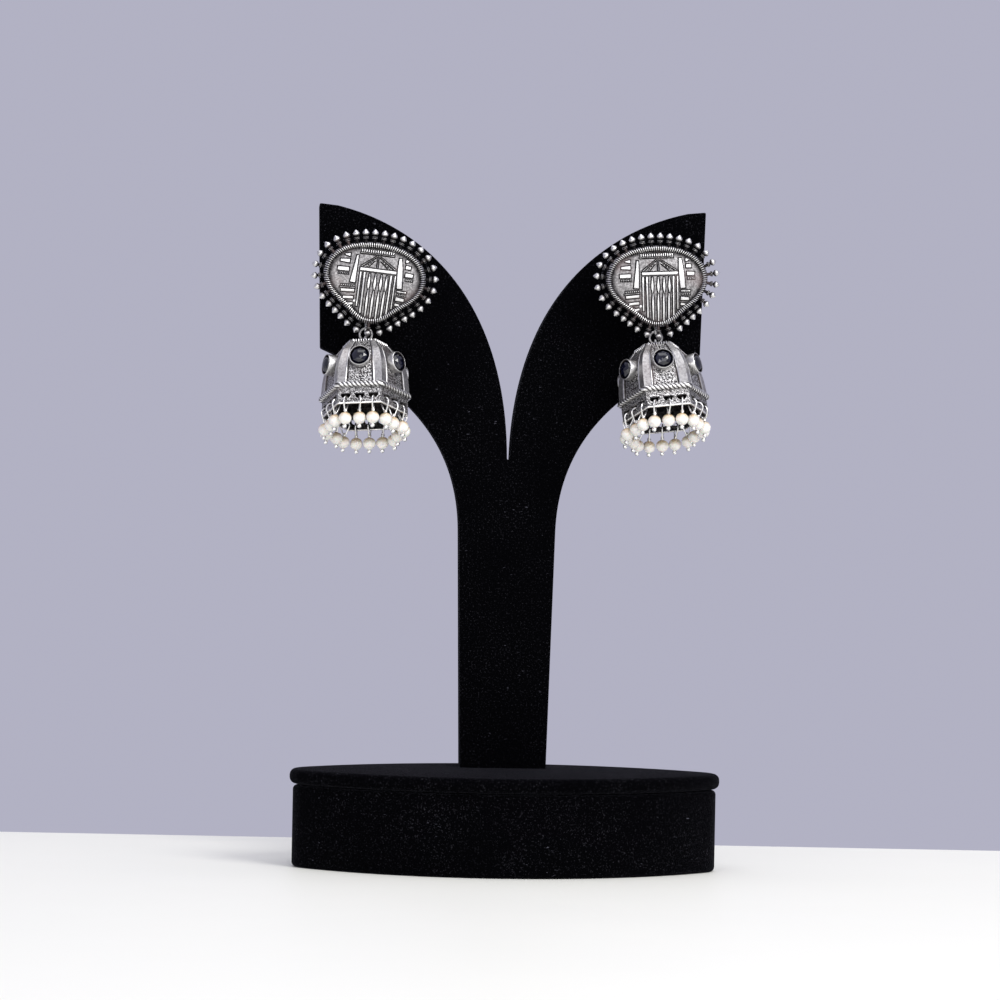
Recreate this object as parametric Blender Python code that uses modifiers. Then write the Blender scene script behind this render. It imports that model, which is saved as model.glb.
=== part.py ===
"""A pair of jhumka earrings hanging on a velvet display stand.

The origin is the middle of the stand's foot, on its underside. +X runs to the
right as the earrings are looked at, +Y away from the viewer and +Z up.
"""

import math

import bmesh
import bpy
from mathutils import Matrix, Vector

MM = 0.001

# Running clearances
SEAT_GAP = 0.3 * MM
STONE_GAP = 0.25 * MM
WELD = 0.00001
EDGE_ANGLE_DEG = 87.5

# Foot of the stand, boat shaped in plan
FOOT_LENGTH = 98.6 * MM
FOOT_DEPTH = 46.6 * MM
FOOT_TIP_RADIUS = 7.0 * MM
FOOT_BOX_HEIGHT = 18.9 * MM
FOOT_BOX_EDGE = 1.0 * MM
TOP_BOARD_THICKNESS = 3.5 * MM
TOP_BOARD_OVERHANG = 0.8 * MM
TOP_BOARD_EDGE = 1.5 * MM
STEM_SLOT_DEPTH = 9.0 * MM

# Y panel
YOKE_FRONT_Y = 8.0 * MM
YOKE_THICKNESS = 8.0 * MM
YOKE_HEIGHT = 154.5 * MM
YOKE_HALF_WIDTH = 45.55 * MM
YOKE_EDGE = 0.7 * MM
ARM_SHOULDER = 4.3 * MM
ARM_TIP_HEIGHT = 33.8 * MM
ARM_TIP_LEAN = 0.8 * MM
CROTCH_Z = 95.0 * MM
CROTCH_RADIUS = 0.4 * MM
NECK_Z = 78.0 * MM
NECK_HALF_WIDTH = 11.3 * MM
STEM_FOOT_HALF_WIDTH = 9.9 * MM

# Pull of the two curved edges of an arm, as shares of the way between their ends
INNER_EDGE_PULL = {"start_across": 0.025, "start_up": 0.58, "end_across": 0.43, "end_up": 0.91}
OUTER_EDGE_PULL = {"start_across": 0.56, "start_down": 0.19, "end_across": 0.99, "end_down": 0.475}

# Stud: relief plate, rim, pins, eye and post
PLATE_RADIUS = 10.25 * MM
PLATE_LOBES = (0.068, -0.107, -0.080, 0.037)
PLATE_SIDES = 36
PLATE_THICKNESS = 0.9 * MM
PLATE_BACK_Y = -0.69 * MM
RIM_WIDTH = 1.4 * MM
RIM_HEIGHT = 0.75 * MM
DOME_RISE = 0.8 * MM
PIN_COUNT = 33
PIN_SIDES = 5
PIN_LENGTH = 3.0 * MM
PIN_ROOT = 0.7 * MM
PIN_STEM_RADIUS = 0.34 * MM
PIN_BUD_RADIUS = 0.78 * MM
PIN_BUD_SHARE = 0.68
PIN_SHOULDER_SHARE = 0.42
PIN_SETBACK = 0.75 * MM
POST_RADIUS = 0.45 * MM
POST_DEPTH = 2.6 * MM
POST_SIDES = 10
EYE_OFFSET = -0.45 * MM
EYE_DROP = 10.65 * MM
LUG_RADIUS = 0.42 * MM
LUG_SIDES = 8

# Raised bars of the plate, in shares of the plate's radius: centre, half sizes, lean in degrees
RELIEF_RISE = 0.38 * MM
RELIEF_SINK = 0.6 * MM
RELIEF_COLUMNS = ("across", "up", "half_width", "half_height", "lean")
RELIEF_BARS = (
    (0.02, 0.755, 0.37, 0.045, 0.0),
    (-0.14, 0.56, 0.030, 0.17, 42.0),
    (0.19, 0.56, 0.030, 0.17, -42.0),
    (0.03, 0.56, 0.020, 0.13, 0.0),
    (0.03, 0.335, 0.41, 0.035, 0.0),
    (-0.335, -0.22, 0.030, 0.47, 0.0),
    (-0.225, -0.22, 0.030, 0.51, 0.0),
    (-0.100, -0.24, 0.030, 0.53, 0.0),
    (0.020, -0.24, 0.030, 0.54, 0.0),
    (0.140, -0.24, 0.030, 0.53, 0.0),
    (0.260, -0.22, 0.030, 0.50, 0.0),
    (0.380, -0.20, 0.030, 0.43, 0.0),
    (-0.475, 0.31, 0.060, 0.31, -4.0),
    (0.540, 0.36, 0.065, 0.33, 3.0),
    (-0.760, 0.24, 0.180, 0.040, 0.0),
    (0.790, 0.27, 0.130, 0.045, -3.0),
    (-0.560, -0.25, 0.150, 0.040, 0.0),
    (0.620, -0.29, 0.150, 0.045, 8.0),
)

# Wire loops
EYE_RING_RADIUS = 0.93 * MM
EYE_WIRE_RADIUS = 0.28 * MM
LINK_RING_RADIUS = 1.42 * MM
LINK_WIRE_RADIUS = 0.34 * MM
RING_SIDES = 10
LINK_PLANE_SETBACK = 0.85 * MM

# Bell, measured down from the centre of its eye; radii run to the six corners
BELL_SIDES = 6
BELL_WALL = 0.75 * MM
CAP_TOP_DROP = 1.5 * MM
CAP_RADIUS = 4.9 * MM
DOME_RADIUS = 10.0 * MM
DOME_DROP = 13.85 * MM
GALLERY_RADIUS = 10.0 * MM
GALLERY_BOTTOM_DROP = 18.85 * MM
RIB_RISE = 0.35 * MM
RIB_WIDTH = 1.9 * MM
RIB_EDGE = 0.12 * MM
DOME_COLUMNS = ("radius_share", "drop_share", "rib_share")
DOME_ROWS = (
    (0.00, 0.00, 0.45),
    (0.36, 0.17, 0.62),
    (0.62, 0.30, 0.78),
    (0.88, 0.58, 1.00),
    (1.00, 1.00, 1.00),
)
CAP_ROPE_RADIUS = 0.42 * MM
ROPE_RADIUS = 0.65 * MM
ROPE_RING_RADIUS = 10.35 * MM
ROPE_DROP = 14.35 * MM
STEM_RADIUS = 0.45 * MM
WINDOW_PITCH = 3.15 * MM
WINDOW_WIDTH = 2.3 * MM
WINDOW_TOP_DROP = 16.35 * MM
WINDOW_BOTTOM_DROP = 17.75 * MM
# Outline of a window's right half: shares of its half width and of its height, down from the top
WINDOW_ROWS = ((1.0, 0.0), (0.93, 0.55), (0.58, 1.0))
WINDOWS_PER_SIDE = 3
COLLET_RADIUS = 2.45 * MM
COLLET_BORE_RADIUS = 2.15 * MM
COLLET_DROP = 7.75 * MM
COLLET_REACH = 9.9 * MM
COLLET_INNER_REACH = 6.6 * MM
COLLET_BORE_DEPTH = 1.4 * MM
COLLET_RISE_DEG = 1.0
COLLET_SIDES = 10
STONE_SIDES = 10
STONE_GIRDLE = 0.45 * MM
STONE_CROWN = 1.0 * MM
STONE_TABLE_SHARE = 0.55

# Pearl drop, measured from the middle of the strip below its window
PEARL_RADIUS = 1.42 * MM
PEARL_DROP = 3.8 * MM
PEARL_SIDES = 10
PEARL_WAIST_SHARE = 0.71
LOOP_HALF_WIDTH = 1.12 * MM
LOOP_CLEARANCE = 0.45 * MM
LOOP_WIRE_RADIUS = 0.18 * MM
LOOP_ARC_POINTS = 5
LOOP_ROOT = 0.35 * MM
LOOP_OPENING_DEG = 200.0
TIP_RADIUS = 0.5 * MM
TIP_SIDES = 6
CORNER_SPLAY_DEG = 5.0

# How each earring hangs: its stud's distances in from the panel's side and down from its top, the
# stud's turn in the panel's plane, and the bell's turn about its own axis and its two leans
LEFT_STUD_INSET = 12.75 * MM
LEFT_STUD_DROP = 19.05 * MM
RIGHT_STUD_INSET = 12.4 * MM
RIGHT_STUD_DROP = 18.2 * MM
EARRINGS = {
    "left": {
        "x": LEFT_STUD_INSET - YOKE_HALF_WIDTH, "z": YOKE_HEIGHT - LEFT_STUD_DROP,
        "stud_roll": 6.2, "spin": -10.1, "roll": 0.3, "lean": 20.0,
    },
    "right": {
        "x": YOKE_HALF_WIDTH - RIGHT_STUD_INSET, "z": YOKE_HEIGHT - RIGHT_STUD_DROP,
        "stud_roll": -2.9, "spin": 0.5, "roll": -6.6, "lean": 20.0,
    },
}

# Worked out from the sizes above
FOOT_TOP_Z = FOOT_BOX_HEIGHT + SEAT_GAP + TOP_BOARD_THICKNESS


def clear_scene():
    """Remove every object of the open scene."""
    for old in list(bpy.data.objects):
        bpy.data.objects.remove(old, do_unlink=True)


def collection(name):
    """Make a collection in the open scene."""
    made = bpy.data.collections.new(name)
    bpy.context.scene.collection.children.link(made)
    return made


def finish(name, colour, roughness, metallic):
    """Make a Principled material."""
    made = bpy.data.materials.new(name)
    made.use_nodes = True
    shader = made.node_tree.nodes["Principled BSDF"]
    shader.inputs["Base Color"].default_value = (*colour, 1.0)
    shader.inputs["Roughness"].default_value = roughness
    shader.inputs["Metallic"].default_value = metallic
    return made


def mesh_from(name, shape):
    """Turn a bmesh into a mesh, faces pointing out."""
    bmesh.ops.recalc_face_normals(shape, faces=shape.faces)
    made = bpy.data.meshes.new(name)
    shape.to_mesh(made)
    shape.free()
    return made


def evaluated_mesh(thing):
    """Mesh of an object with its modifiers or its curve's bevel worked in."""
    bpy.context.view_layer.update()
    graph = bpy.context.evaluated_depsgraph_get()
    made = bpy.data.meshes.new_from_object(thing.evaluated_get(graph))
    shape = bmesh.new()
    shape.from_mesh(made)
    bmesh.ops.remove_doubles(shape, verts=shape.verts, dist=WELD)
    shape.to_mesh(made)
    shape.free()
    return made


def slab_mesh(name, outline, thickness):
    """A flat outline in XY, drawn as a filled 2D curve, thick on both sides of its plane."""
    drawn = bpy.data.curves.new(name, "CURVE")
    drawn.dimensions = "2D"
    drawn.fill_mode = "BOTH"
    drawn.extrude = thickness / 2
    spline = drawn.splines.new("POLY")
    spline.points.add(len(outline) - 1)
    for point, (x, y) in zip(spline.points, outline):
        point.co = (x, y, 0.0, 1.0)
    spline.use_cyclic_u = True
    thing = bpy.data.objects.new(name, drawn)
    bpy.context.scene.collection.objects.link(thing)
    made = evaluated_mesh(thing)
    bpy.data.objects.remove(thing, do_unlink=True)
    return made


def wire_mesh(name, points, radius, closed=False):
    """A round wire of six sides through points, as a curve's bevel."""
    drawn = bpy.data.curves.new(name, "CURVE")
    drawn.dimensions = "3D"
    drawn.bevel_depth = radius
    drawn.bevel_resolution = 1
    drawn.use_fill_caps = not closed
    spline = drawn.splines.new("POLY")
    spline.points.add(len(points) - 1)
    for point, place in zip(spline.points, points):
        point.co = (*place, 1.0)
    spline.use_cyclic_u = closed
    thing = bpy.data.objects.new(name, drawn)
    bpy.context.scene.collection.objects.link(thing)
    made = evaluated_mesh(thing)
    bpy.data.objects.remove(thing, do_unlink=True)
    return made


def turned_mesh(name, profile, sides):
    """A closed turned solid: its profile of radius and height runs from the top to the bottom."""
    shape = bmesh.new()
    points = [shape.verts.new((radius, 0.0, height)) for radius, height in profile]
    for first, second in zip(points, points[1:]):
        shape.edges.new((first, second))
    drawn = bpy.data.meshes.new(name)
    shape.to_mesh(drawn)
    shape.free()
    thing = bpy.data.objects.new(name, drawn)
    bpy.context.scene.collection.objects.link(thing)
    screw = thing.modifiers.new("turn", "SCREW")
    screw.steps = sides
    screw.render_steps = sides
    screw.use_merge_vertices = True
    screw.merge_threshold = WELD
    made = evaluated_mesh(thing)
    bpy.data.objects.remove(thing, do_unlink=True)
    return made


def moved(mesh, matrix):
    """Copy of a mesh with a matrix worked in."""
    made = mesh.copy()
    made.transform(matrix)
    return made


def gathered(name, meshes):
    """Several meshes as one mesh of separate shells."""
    shape = bmesh.new()
    for mesh in meshes:
        shape.from_mesh(mesh)
    made = bpy.data.meshes.new(name)
    shape.to_mesh(made)
    shape.free()
    return made


def fused(name, base, added=(), cut=()):
    """One body from a base mesh with others joined to it and others cut out of it."""
    thing = bpy.data.objects.new(name, base)
    CUTTERS.objects.link(thing)
    tools = []
    steps = [(mesh, "UNION") for mesh in added] + [(mesh, "DIFFERENCE") for mesh in cut]
    for mesh, operation in steps:
        tool = bpy.data.objects.new(name + "_tool", mesh)
        tool.display_type = "WIRE"
        tool.hide_render = True
        CUTTERS.objects.link(tool)
        joint = thing.modifiers.new(operation.lower(), "BOOLEAN")
        joint.operation = operation
        joint.solver = "EXACT"
        joint.use_self = True
        joint.object = tool
        tools.append(tool)
    made = evaluated_mesh(thing)
    for old in [thing, *tools]:
        bpy.data.objects.remove(old, do_unlink=True)
    return made


def piece(name, mesh, look, parent=None, matrix=Matrix.Identity(4)):
    """A named piece of the model, under its pivot where it has one."""
    thing = bpy.data.objects.new(name, mesh)
    PARTS.objects.link(thing)
    if not mesh.materials:
        mesh.materials.append(look)
    thing.parent = parent
    thing.matrix_basis = matrix
    mesh.shade_smooth()
    mesh.set_sharp_from_angle(angle=math.radians(35.0))
    return thing


def pivot(name, matrix):
    """An empty that carries the pieces of one moving body."""
    thing = bpy.data.objects.new(name, None)
    thing.empty_display_size = 3.0 * MM
    PARTS.objects.link(thing)
    thing.matrix_world = matrix
    return thing


def arc(centre, radius, start, end, count):
    """Points on a circle from one angle to another, both ends included."""
    step = (end - start) / (count - 1)
    angles = [start + step * index for index in range(count)]
    return [(centre[0] + radius * math.cos(a), centre[1] + radius * math.sin(a)) for a in angles]


def bezier(start, pull_start, pull_end, end, count):
    """Points of a cubic curve, without its end."""
    points = []
    for index in range(count):
        t = index / count
        shares = ((1 - t) ** 3, 3 * t * (1 - t) ** 2, 3 * t * t * (1 - t), t ** 3)
        corners = (start, pull_start, pull_end, end)
        points.append(tuple(sum(s * c[axis] for s, c in zip(shares, corners)) for axis in (0, 1)))
    return points


def foot_outline(length, depth, tip_radius):
    """Plan of the foot: two long arcs that run into round tips."""
    tip_x = length / 2 - tip_radius
    half_depth = depth / 2
    radius = (tip_x ** 2 + half_depth ** 2 - tip_radius ** 2) / (2 * (half_depth - tip_radius))
    sweep = math.atan2(tip_x, radius - half_depth)
    quarter = math.pi / 2
    back = arc((0.0, half_depth - radius), radius, quarter - sweep, quarter + sweep, 15)
    left = arc((-tip_x, 0.0), tip_radius, quarter + sweep, 3 * quarter - sweep, 7)
    front = [(-x, -y) for x, y in back]
    right = [(-x, -y) for x, y in left]
    return back[:-1] + left[:-1] + front[:-1] + right[:-1]


def yoke_outline():
    """Front view of the Y panel, from its foot round the right arm and back round the left."""
    foot_z = FOOT_TOP_Z - STEM_SLOT_DEPTH
    tip_inner = (YOKE_HALF_WIDTH - ARM_SHOULDER, YOKE_HEIGHT - 0.1 * ARM_SHOULDER)
    tip_lower = (YOKE_HALF_WIDTH - ARM_TIP_LEAN, YOKE_HEIGHT - ARM_TIP_HEIGHT)
    neck = (NECK_HALF_WIDTH, NECK_Z)
    outer_across = tip_lower[0] - neck[0]
    outer_down = tip_lower[1] - neck[1]
    outer_first = (tip_lower[0] - OUTER_EDGE_PULL["start_across"] * outer_across,
                   tip_lower[1] - OUTER_EDGE_PULL["start_down"] * outer_down)
    outer_second = (tip_lower[0] - OUTER_EDGE_PULL["end_across"] * outer_across,
                    tip_lower[1] - OUTER_EDGE_PULL["end_down"] * outer_down)
    inner_up = tip_inner[1] - CROTCH_Z
    inner_first = (INNER_EDGE_PULL["start_across"] * tip_inner[0],
                   CROTCH_Z + INNER_EDGE_PULL["start_up"] * inner_up)
    inner_second = (INNER_EDGE_PULL["end_across"] * tip_inner[0],
                    CROTCH_Z + INNER_EDGE_PULL["end_up"] * inner_up)
    outer = bezier(tip_lower, outer_first, outer_second, neck, 10)
    inner = bezier((CROTCH_RADIUS, CROTCH_Z + CROTCH_RADIUS), inner_first, inner_second, tip_inner, 11)
    right = [(STEM_FOOT_HALF_WIDTH, foot_z), (STEM_FOOT_HALF_WIDTH, FOOT_TOP_Z), neck]
    right += list(reversed(outer))
    right += [(YOKE_HALF_WIDTH, YOKE_HEIGHT), tip_inner]
    right += list(reversed(inner))
    left = [(-x, z) for x, z in reversed(right)]
    return right + [(0.0, CROTCH_Z)] + left


def rounded(name, mesh, width):
    """A slab with its sharp edges rounded."""
    thing = bpy.data.objects.new(name, mesh)
    bpy.context.scene.collection.objects.link(thing)
    bevel = thing.modifiers.new("edge", "BEVEL")
    bevel.width = width
    bevel.segments = 1
    bevel.limit_method = "ANGLE"
    bevel.angle_limit = math.radians(EDGE_ANGLE_DEG)
    made = evaluated_mesh(thing)
    bpy.data.objects.remove(thing, do_unlink=True)
    return made


def box_mesh(name, size, centre):
    """A plain box."""
    shape = bmesh.new()
    bmesh.ops.create_cube(shape, size=1.0)
    bmesh.ops.scale(shape, vec=size, verts=shape.verts)
    bmesh.ops.translate(shape, vec=centre, verts=shape.verts)
    return mesh_from(name, shape)


def rod_mesh(name, radius, start, end, sides):
    """A straight round rod between two points."""
    start = Vector(start)
    along = Vector(end) - start
    shape = bmesh.new()
    bmesh.ops.create_cone(shape, cap_ends=True, segments=sides, radius1=radius, radius2=radius,
                          depth=along.length)
    turn = Vector((0.0, 0.0, 1.0)).rotation_difference(along).to_matrix().to_4x4()
    shape.transform(Matrix.Translation(start + along / 2) @ turn)
    return mesh_from(name, shape)


def ring_mesh(name, ring_radius, wire_radius, axis):
    """A closed wire ring round an axis, centred on the origin."""
    step = 2 * math.pi / RING_SIDES
    turn = Vector((0.0, 0.0, 1.0)).rotation_difference(Vector(axis)).to_matrix()
    angles = [step * (index + 0.5) for index in range(RING_SIDES)]
    points = [turn @ Vector((ring_radius * math.cos(a), ring_radius * math.sin(a), 0.0)) for a in angles]
    return wire_mesh(name, points, wire_radius, closed=True)


def build_stand():
    """Foot box, top board and Y panel."""
    slot_size = (2 * (STEM_FOOT_HALF_WIDTH + SEAT_GAP), YOKE_THICKNESS + 2 * SEAT_GAP, FOOT_TOP_Z)
    slot_floor = FOOT_TOP_Z - STEM_SLOT_DEPTH - SEAT_GAP
    slot_centre = (0.0, YOKE_FRONT_Y + YOKE_THICKNESS / 2, slot_floor + FOOT_TOP_Z / 2)

    box_outline = foot_outline(FOOT_LENGTH, FOOT_DEPTH, FOOT_TIP_RADIUS)
    box = slab_mesh("foot_box", box_outline, FOOT_BOX_HEIGHT)
    box = rounded("foot_box", box, FOOT_BOX_EDGE)
    box.transform(Matrix.Translation((0.0, 0.0, FOOT_BOX_HEIGHT / 2)))
    box = fused("foot_box", box, cut=[box_mesh("slot", slot_size, slot_centre)])
    piece("stand_base", box, VELVET)

    board_outline = foot_outline(FOOT_LENGTH + 2 * TOP_BOARD_OVERHANG, FOOT_DEPTH + 2 * TOP_BOARD_OVERHANG,
                                 FOOT_TIP_RADIUS + TOP_BOARD_OVERHANG)
    board = slab_mesh("foot_board", board_outline, TOP_BOARD_THICKNESS)
    board = rounded("foot_board", board, TOP_BOARD_EDGE)
    board.transform(Matrix.Translation((0.0, 0.0, FOOT_TOP_Z - TOP_BOARD_THICKNESS / 2)))
    board = fused("foot_board", board, cut=[box_mesh("slot", slot_size, slot_centre)])
    piece("stand_top_board", board, VELVET)

    panel = slab_mesh("yoke", yoke_outline(), YOKE_THICKNESS)
    panel = rounded("yoke", panel, YOKE_EDGE)
    upright = Matrix.Rotation(math.radians(90.0), 4, "X")
    panel.transform(Matrix.Translation((0.0, YOKE_FRONT_Y + YOKE_THICKNESS / 2, 0.0)) @ upright)
    holes = []
    for place in EARRINGS.values():
        front = (place["x"], YOKE_FRONT_Y - YOKE_EDGE, place["z"])
        end = (place["x"], YOKE_FRONT_Y + POST_DEPTH + SEAT_GAP, place["z"])
        holes.append(rod_mesh("hole", POST_RADIUS + SEAT_GAP, front, end, POST_SIDES))
    panel = fused("yoke", panel, cut=[gathered("holes", holes)])
    piece("stand_yoke", panel, VELVET)


def plate_radius(angle):
    """Radius of the plate's outline, a triangle with round corners, at an angle from the top."""
    waves = sum(lobe * math.cos((order + 1) * angle) for order, lobe in enumerate(PLATE_LOBES))
    return PLATE_RADIUS * (1.0 + waves)


def plate_point(angle, inset=0.0):
    """Point of the outline at an angle from the top, moved in by an inset."""
    radius = plate_radius(angle) - inset
    return Vector((radius * math.sin(angle), 0.0, radius * math.cos(angle)))


def dome_height(share):
    """Height of the plate's face over its back, at a share of the way from centre to rim."""
    return PLATE_THICKNESS + DOME_RISE * (1.0 - share * share)


def plate_mesh():
    """Domed plate with a raised rim, lofted through rings of the one outline."""
    rim_crown = PLATE_THICKNESS + RIM_HEIGHT
    rows = (
        (0.0, 1.0, 0.0),
        (0.0, 1.0, PLATE_THICKNESS),
        (RIM_WIDTH / 2, 1.0, rim_crown),
        (RIM_WIDTH, 1.0, dome_height(1.0)),
        (RIM_WIDTH, 0.5, dome_height(0.5)),
    )
    shape = bmesh.new()
    rings = []
    for inset, share, height in rows:
        ring = []
        for index in range(PLATE_SIDES):
            point = plate_point(2 * math.pi * index / PLATE_SIDES, inset) * share
            ring.append(shape.verts.new((point.x, -height, point.z)))
        rings.append(ring)
    for first, second in zip(rings, rings[1:]):
        for index in range(PLATE_SIDES):
            after = (index + 1) % PLATE_SIDES
            shape.faces.new((first[index], first[after], second[after], second[index]))
    shape.faces.new(rings[0])
    crown = shape.verts.new((0.0, -dome_height(0.0), 0.0))
    for index in range(PLATE_SIDES):
        shape.faces.new((rings[-1][index], rings[-1][(index + 1) % PLATE_SIDES], crown))
    return mesh_from("plate", shape)


def pin_mesh():
    """One pin of the fringe along +Z: stem, bud and pointed tip."""
    profile = (
        (0.0, PIN_LENGTH),
        (PIN_BUD_RADIUS, PIN_BUD_SHARE * PIN_LENGTH),
        (PIN_STEM_RADIUS, PIN_SHOULDER_SHARE * PIN_LENGTH),
        (PIN_STEM_RADIUS, -PIN_ROOT),
        (0.0, -PIN_ROOT),
    )
    return turned_mesh("pin", profile, PIN_SIDES)


def pin_stations():
    """Place and outward direction of each pin, evenly spaced along the outline."""
    fine = 720
    angles = [2 * math.pi * index / fine for index in range(fine + 1)]
    points = [plate_point(angle) for angle in angles]
    lengths = [0.0]
    for first, second in zip(points, points[1:]):
        lengths.append(lengths[-1] + (second - first).length)
    stations = []
    at = 0
    for index in range(PIN_COUNT):
        wanted = lengths[-1] * (index + 0.5) / PIN_COUNT
        while lengths[at + 1] < wanted:
            at += 1
        along = (points[at + 1] - points[at]).normalized()
        outward = Vector((-along.z, 0.0, along.x))
        if outward.dot(points[at]) < 0:
            outward = -outward
        stations.append((points[at], outward))
    return stations


def stud_mesh():
    """Plate, rim, pins, raised bars, eye and post as one body; its back face is at y 0."""
    pin = pin_mesh()
    pins = []
    for place, outward in pin_stations():
        turn = Vector((0.0, 0.0, 1.0)).rotation_difference(outward).to_matrix().to_4x4()
        pins.append(moved(pin, Matrix.Translation(place + Vector((0.0, -PIN_SETBACK, 0.0))) @ turn))

    bars = []
    for row in RELIEF_BARS:
        bar = dict(zip(RELIEF_COLUMNS, row))
        share = math.hypot(bar["across"], bar["up"])
        height = dome_height(min(share, 1.0)) + RELIEF_RISE
        width = 2 * bar["half_width"] * PLATE_RADIUS
        depth = RELIEF_RISE + RELIEF_SINK
        block = box_mesh("bar", (width, depth, 2 * bar["half_height"] * PLATE_RADIUS), (0.0, 0.0, 0.0))
        centre = (bar["across"] * PLATE_RADIUS, depth / 2 - height, bar["up"] * PLATE_RADIUS)
        lean = Matrix.Rotation(math.radians(bar["lean"]), 4, "Y")
        bars.append(moved(block, Matrix.Translation(centre) @ lean))

    eye_y = LINK_PLANE_SETBACK
    eye = moved(ring_mesh("eye", EYE_RING_RADIUS, EYE_WIRE_RADIUS, (1.0, 0.0, 0.0)),
                Matrix.Translation((EYE_OFFSET, eye_y, -EYE_DROP)))
    lug_low = (EYE_OFFSET, eye_y, -EYE_DROP + EYE_RING_RADIUS)
    lug_high = (EYE_OFFSET, -PLATE_THICKNESS / 2, -EYE_DROP + 3 * EYE_RING_RADIUS)
    lug = rod_mesh("lug", LUG_RADIUS, lug_low, lug_high, LUG_SIDES)
    post_end = (0.0, YOKE_FRONT_Y + POST_DEPTH - PLATE_BACK_Y, 0.0)
    post = rod_mesh("post", POST_RADIUS, (0.0, -PLATE_THICKNESS / 2, 0.0), post_end, POST_SIDES)
    return fused("stud", plate_mesh(), added=[gathered("pins", pins), gathered("bars", bars), eye, lug, post])


def hexagon(radius, drop):
    """Six corner points of a level hexagon with flat sides towards the front and back."""
    step = 2 * math.pi / BELL_SIDES
    angles = [step * index for index in range(BELL_SIDES)]
    return [Vector((radius * math.cos(a), radius * math.sin(a), -drop)) for a in angles]


def dome_sections():
    """Corner radius, drop and rib share of each row of the dome."""
    sections = []
    for row in DOME_ROWS:
        level = dict(zip(DOME_COLUMNS, row))
        radius = CAP_RADIUS + level["radius_share"] * (DOME_RADIUS - CAP_RADIUS)
        drop = CAP_TOP_DROP + level["drop_share"] * (DOME_DROP - CAP_TOP_DROP)
        sections.append((radius, drop, level["rib_share"]))
    return sections


def dome_ring(radius, drop, rib_share):
    """One row of the dome: flat panels between corner ribs that stand proud of them."""
    corners = hexagon(radius, drop)
    rim = hexagon(radius + RIB_RISE, drop)
    width = RIB_WIDTH * rib_share
    points = []
    for index in range(BELL_SIDES):
        after = (index + 1) % BELL_SIDES
        along = (corners[after] - corners[index]).normalized()
        points.append(rim[index])
        points.append(rim[index] + along * width)
        points.append(corners[index] + along * (width + RIB_EDGE))
        points.append(corners[after] - along * (width + RIB_EDGE))
        points.append(rim[after] - along * width)
    return points


def dome_mesh():
    """Ribbed dome, lofted from the cap to the rope."""
    shape = bmesh.new()
    rings = []
    for section in dome_sections():
        rings.append([shape.verts.new(point) for point in dome_ring(*section)])
    count = len(rings[0])
    for upper, lower in zip(rings, rings[1:]):
        for index in range(count):
            after = (index + 1) % count
            shape.faces.new((upper[index], upper[after], lower[after], lower[index]))
    shape.faces.new(rings[0])
    shape.faces.new(rings[-1])
    return mesh_from("dome", shape)


def hollow_mesh():
    """The space inside the bell, one wall in from the panels."""
    inset = BELL_WALL / math.cos(math.pi / BELL_SIDES)
    profile = [(0.0, CAP_TOP_DROP + BELL_WALL)]
    profile.append((CAP_RADIUS - inset, CAP_TOP_DROP + BELL_WALL))
    for radius, drop, _ in dome_sections()[1:]:
        profile.append((radius - inset, drop + BELL_WALL / 2))
    profile.append((GALLERY_RADIUS - inset, GALLERY_BOTTOM_DROP + BELL_WALL))
    profile.append((0.0, GALLERY_BOTTOM_DROP + BELL_WALL))
    return turned_mesh("hollow", [(radius, -drop) for radius, drop in profile], BELL_SIDES)


def side_turns():
    """Turns that bring a thing that faces -Y to each of the six sides in turn."""
    step = 2 * math.pi / BELL_SIDES
    return [Matrix.Rotation(step * index, 4, "Z") for index in range(BELL_SIDES)]


def apothem(corner_radius):
    """Distance from a hexagon's centre to the middle of a side."""
    return corner_radius * math.cos(math.pi / BELL_SIDES)


def window_mesh():
    """Cutter for one window of the front side: flat at its top, round at its bottom."""
    height = WINDOW_BOTTOM_DROP - WINDOW_TOP_DROP
    half = WINDOW_WIDTH / 2
    right = [(half * across, -height * down) for across, down in WINDOW_ROWS]
    outline = right + [(-x, y) for x, y in reversed(right)]
    depth = 4 * BELL_WALL
    cutter = slab_mesh("window", outline, depth)
    upright = Matrix.Rotation(math.radians(90.0), 4, "X")
    middle = apothem(GALLERY_RADIUS) - BELL_WALL / 2
    cutter.transform(Matrix.Translation((0.0, -middle, -WINDOW_TOP_DROP)) @ upright)
    return cutter


def window_offsets():
    """Places of the windows across one side."""
    middle = (WINDOWS_PER_SIDE - 1) / 2
    return [(index - middle) * WINDOW_PITCH for index in range(WINDOWS_PER_SIDE)]


def collet_axis():
    """Direction in which the front collet points."""
    rise = math.radians(COLLET_RISE_DEG)
    return Vector((0.0, -math.cos(rise), math.sin(rise)))


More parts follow.
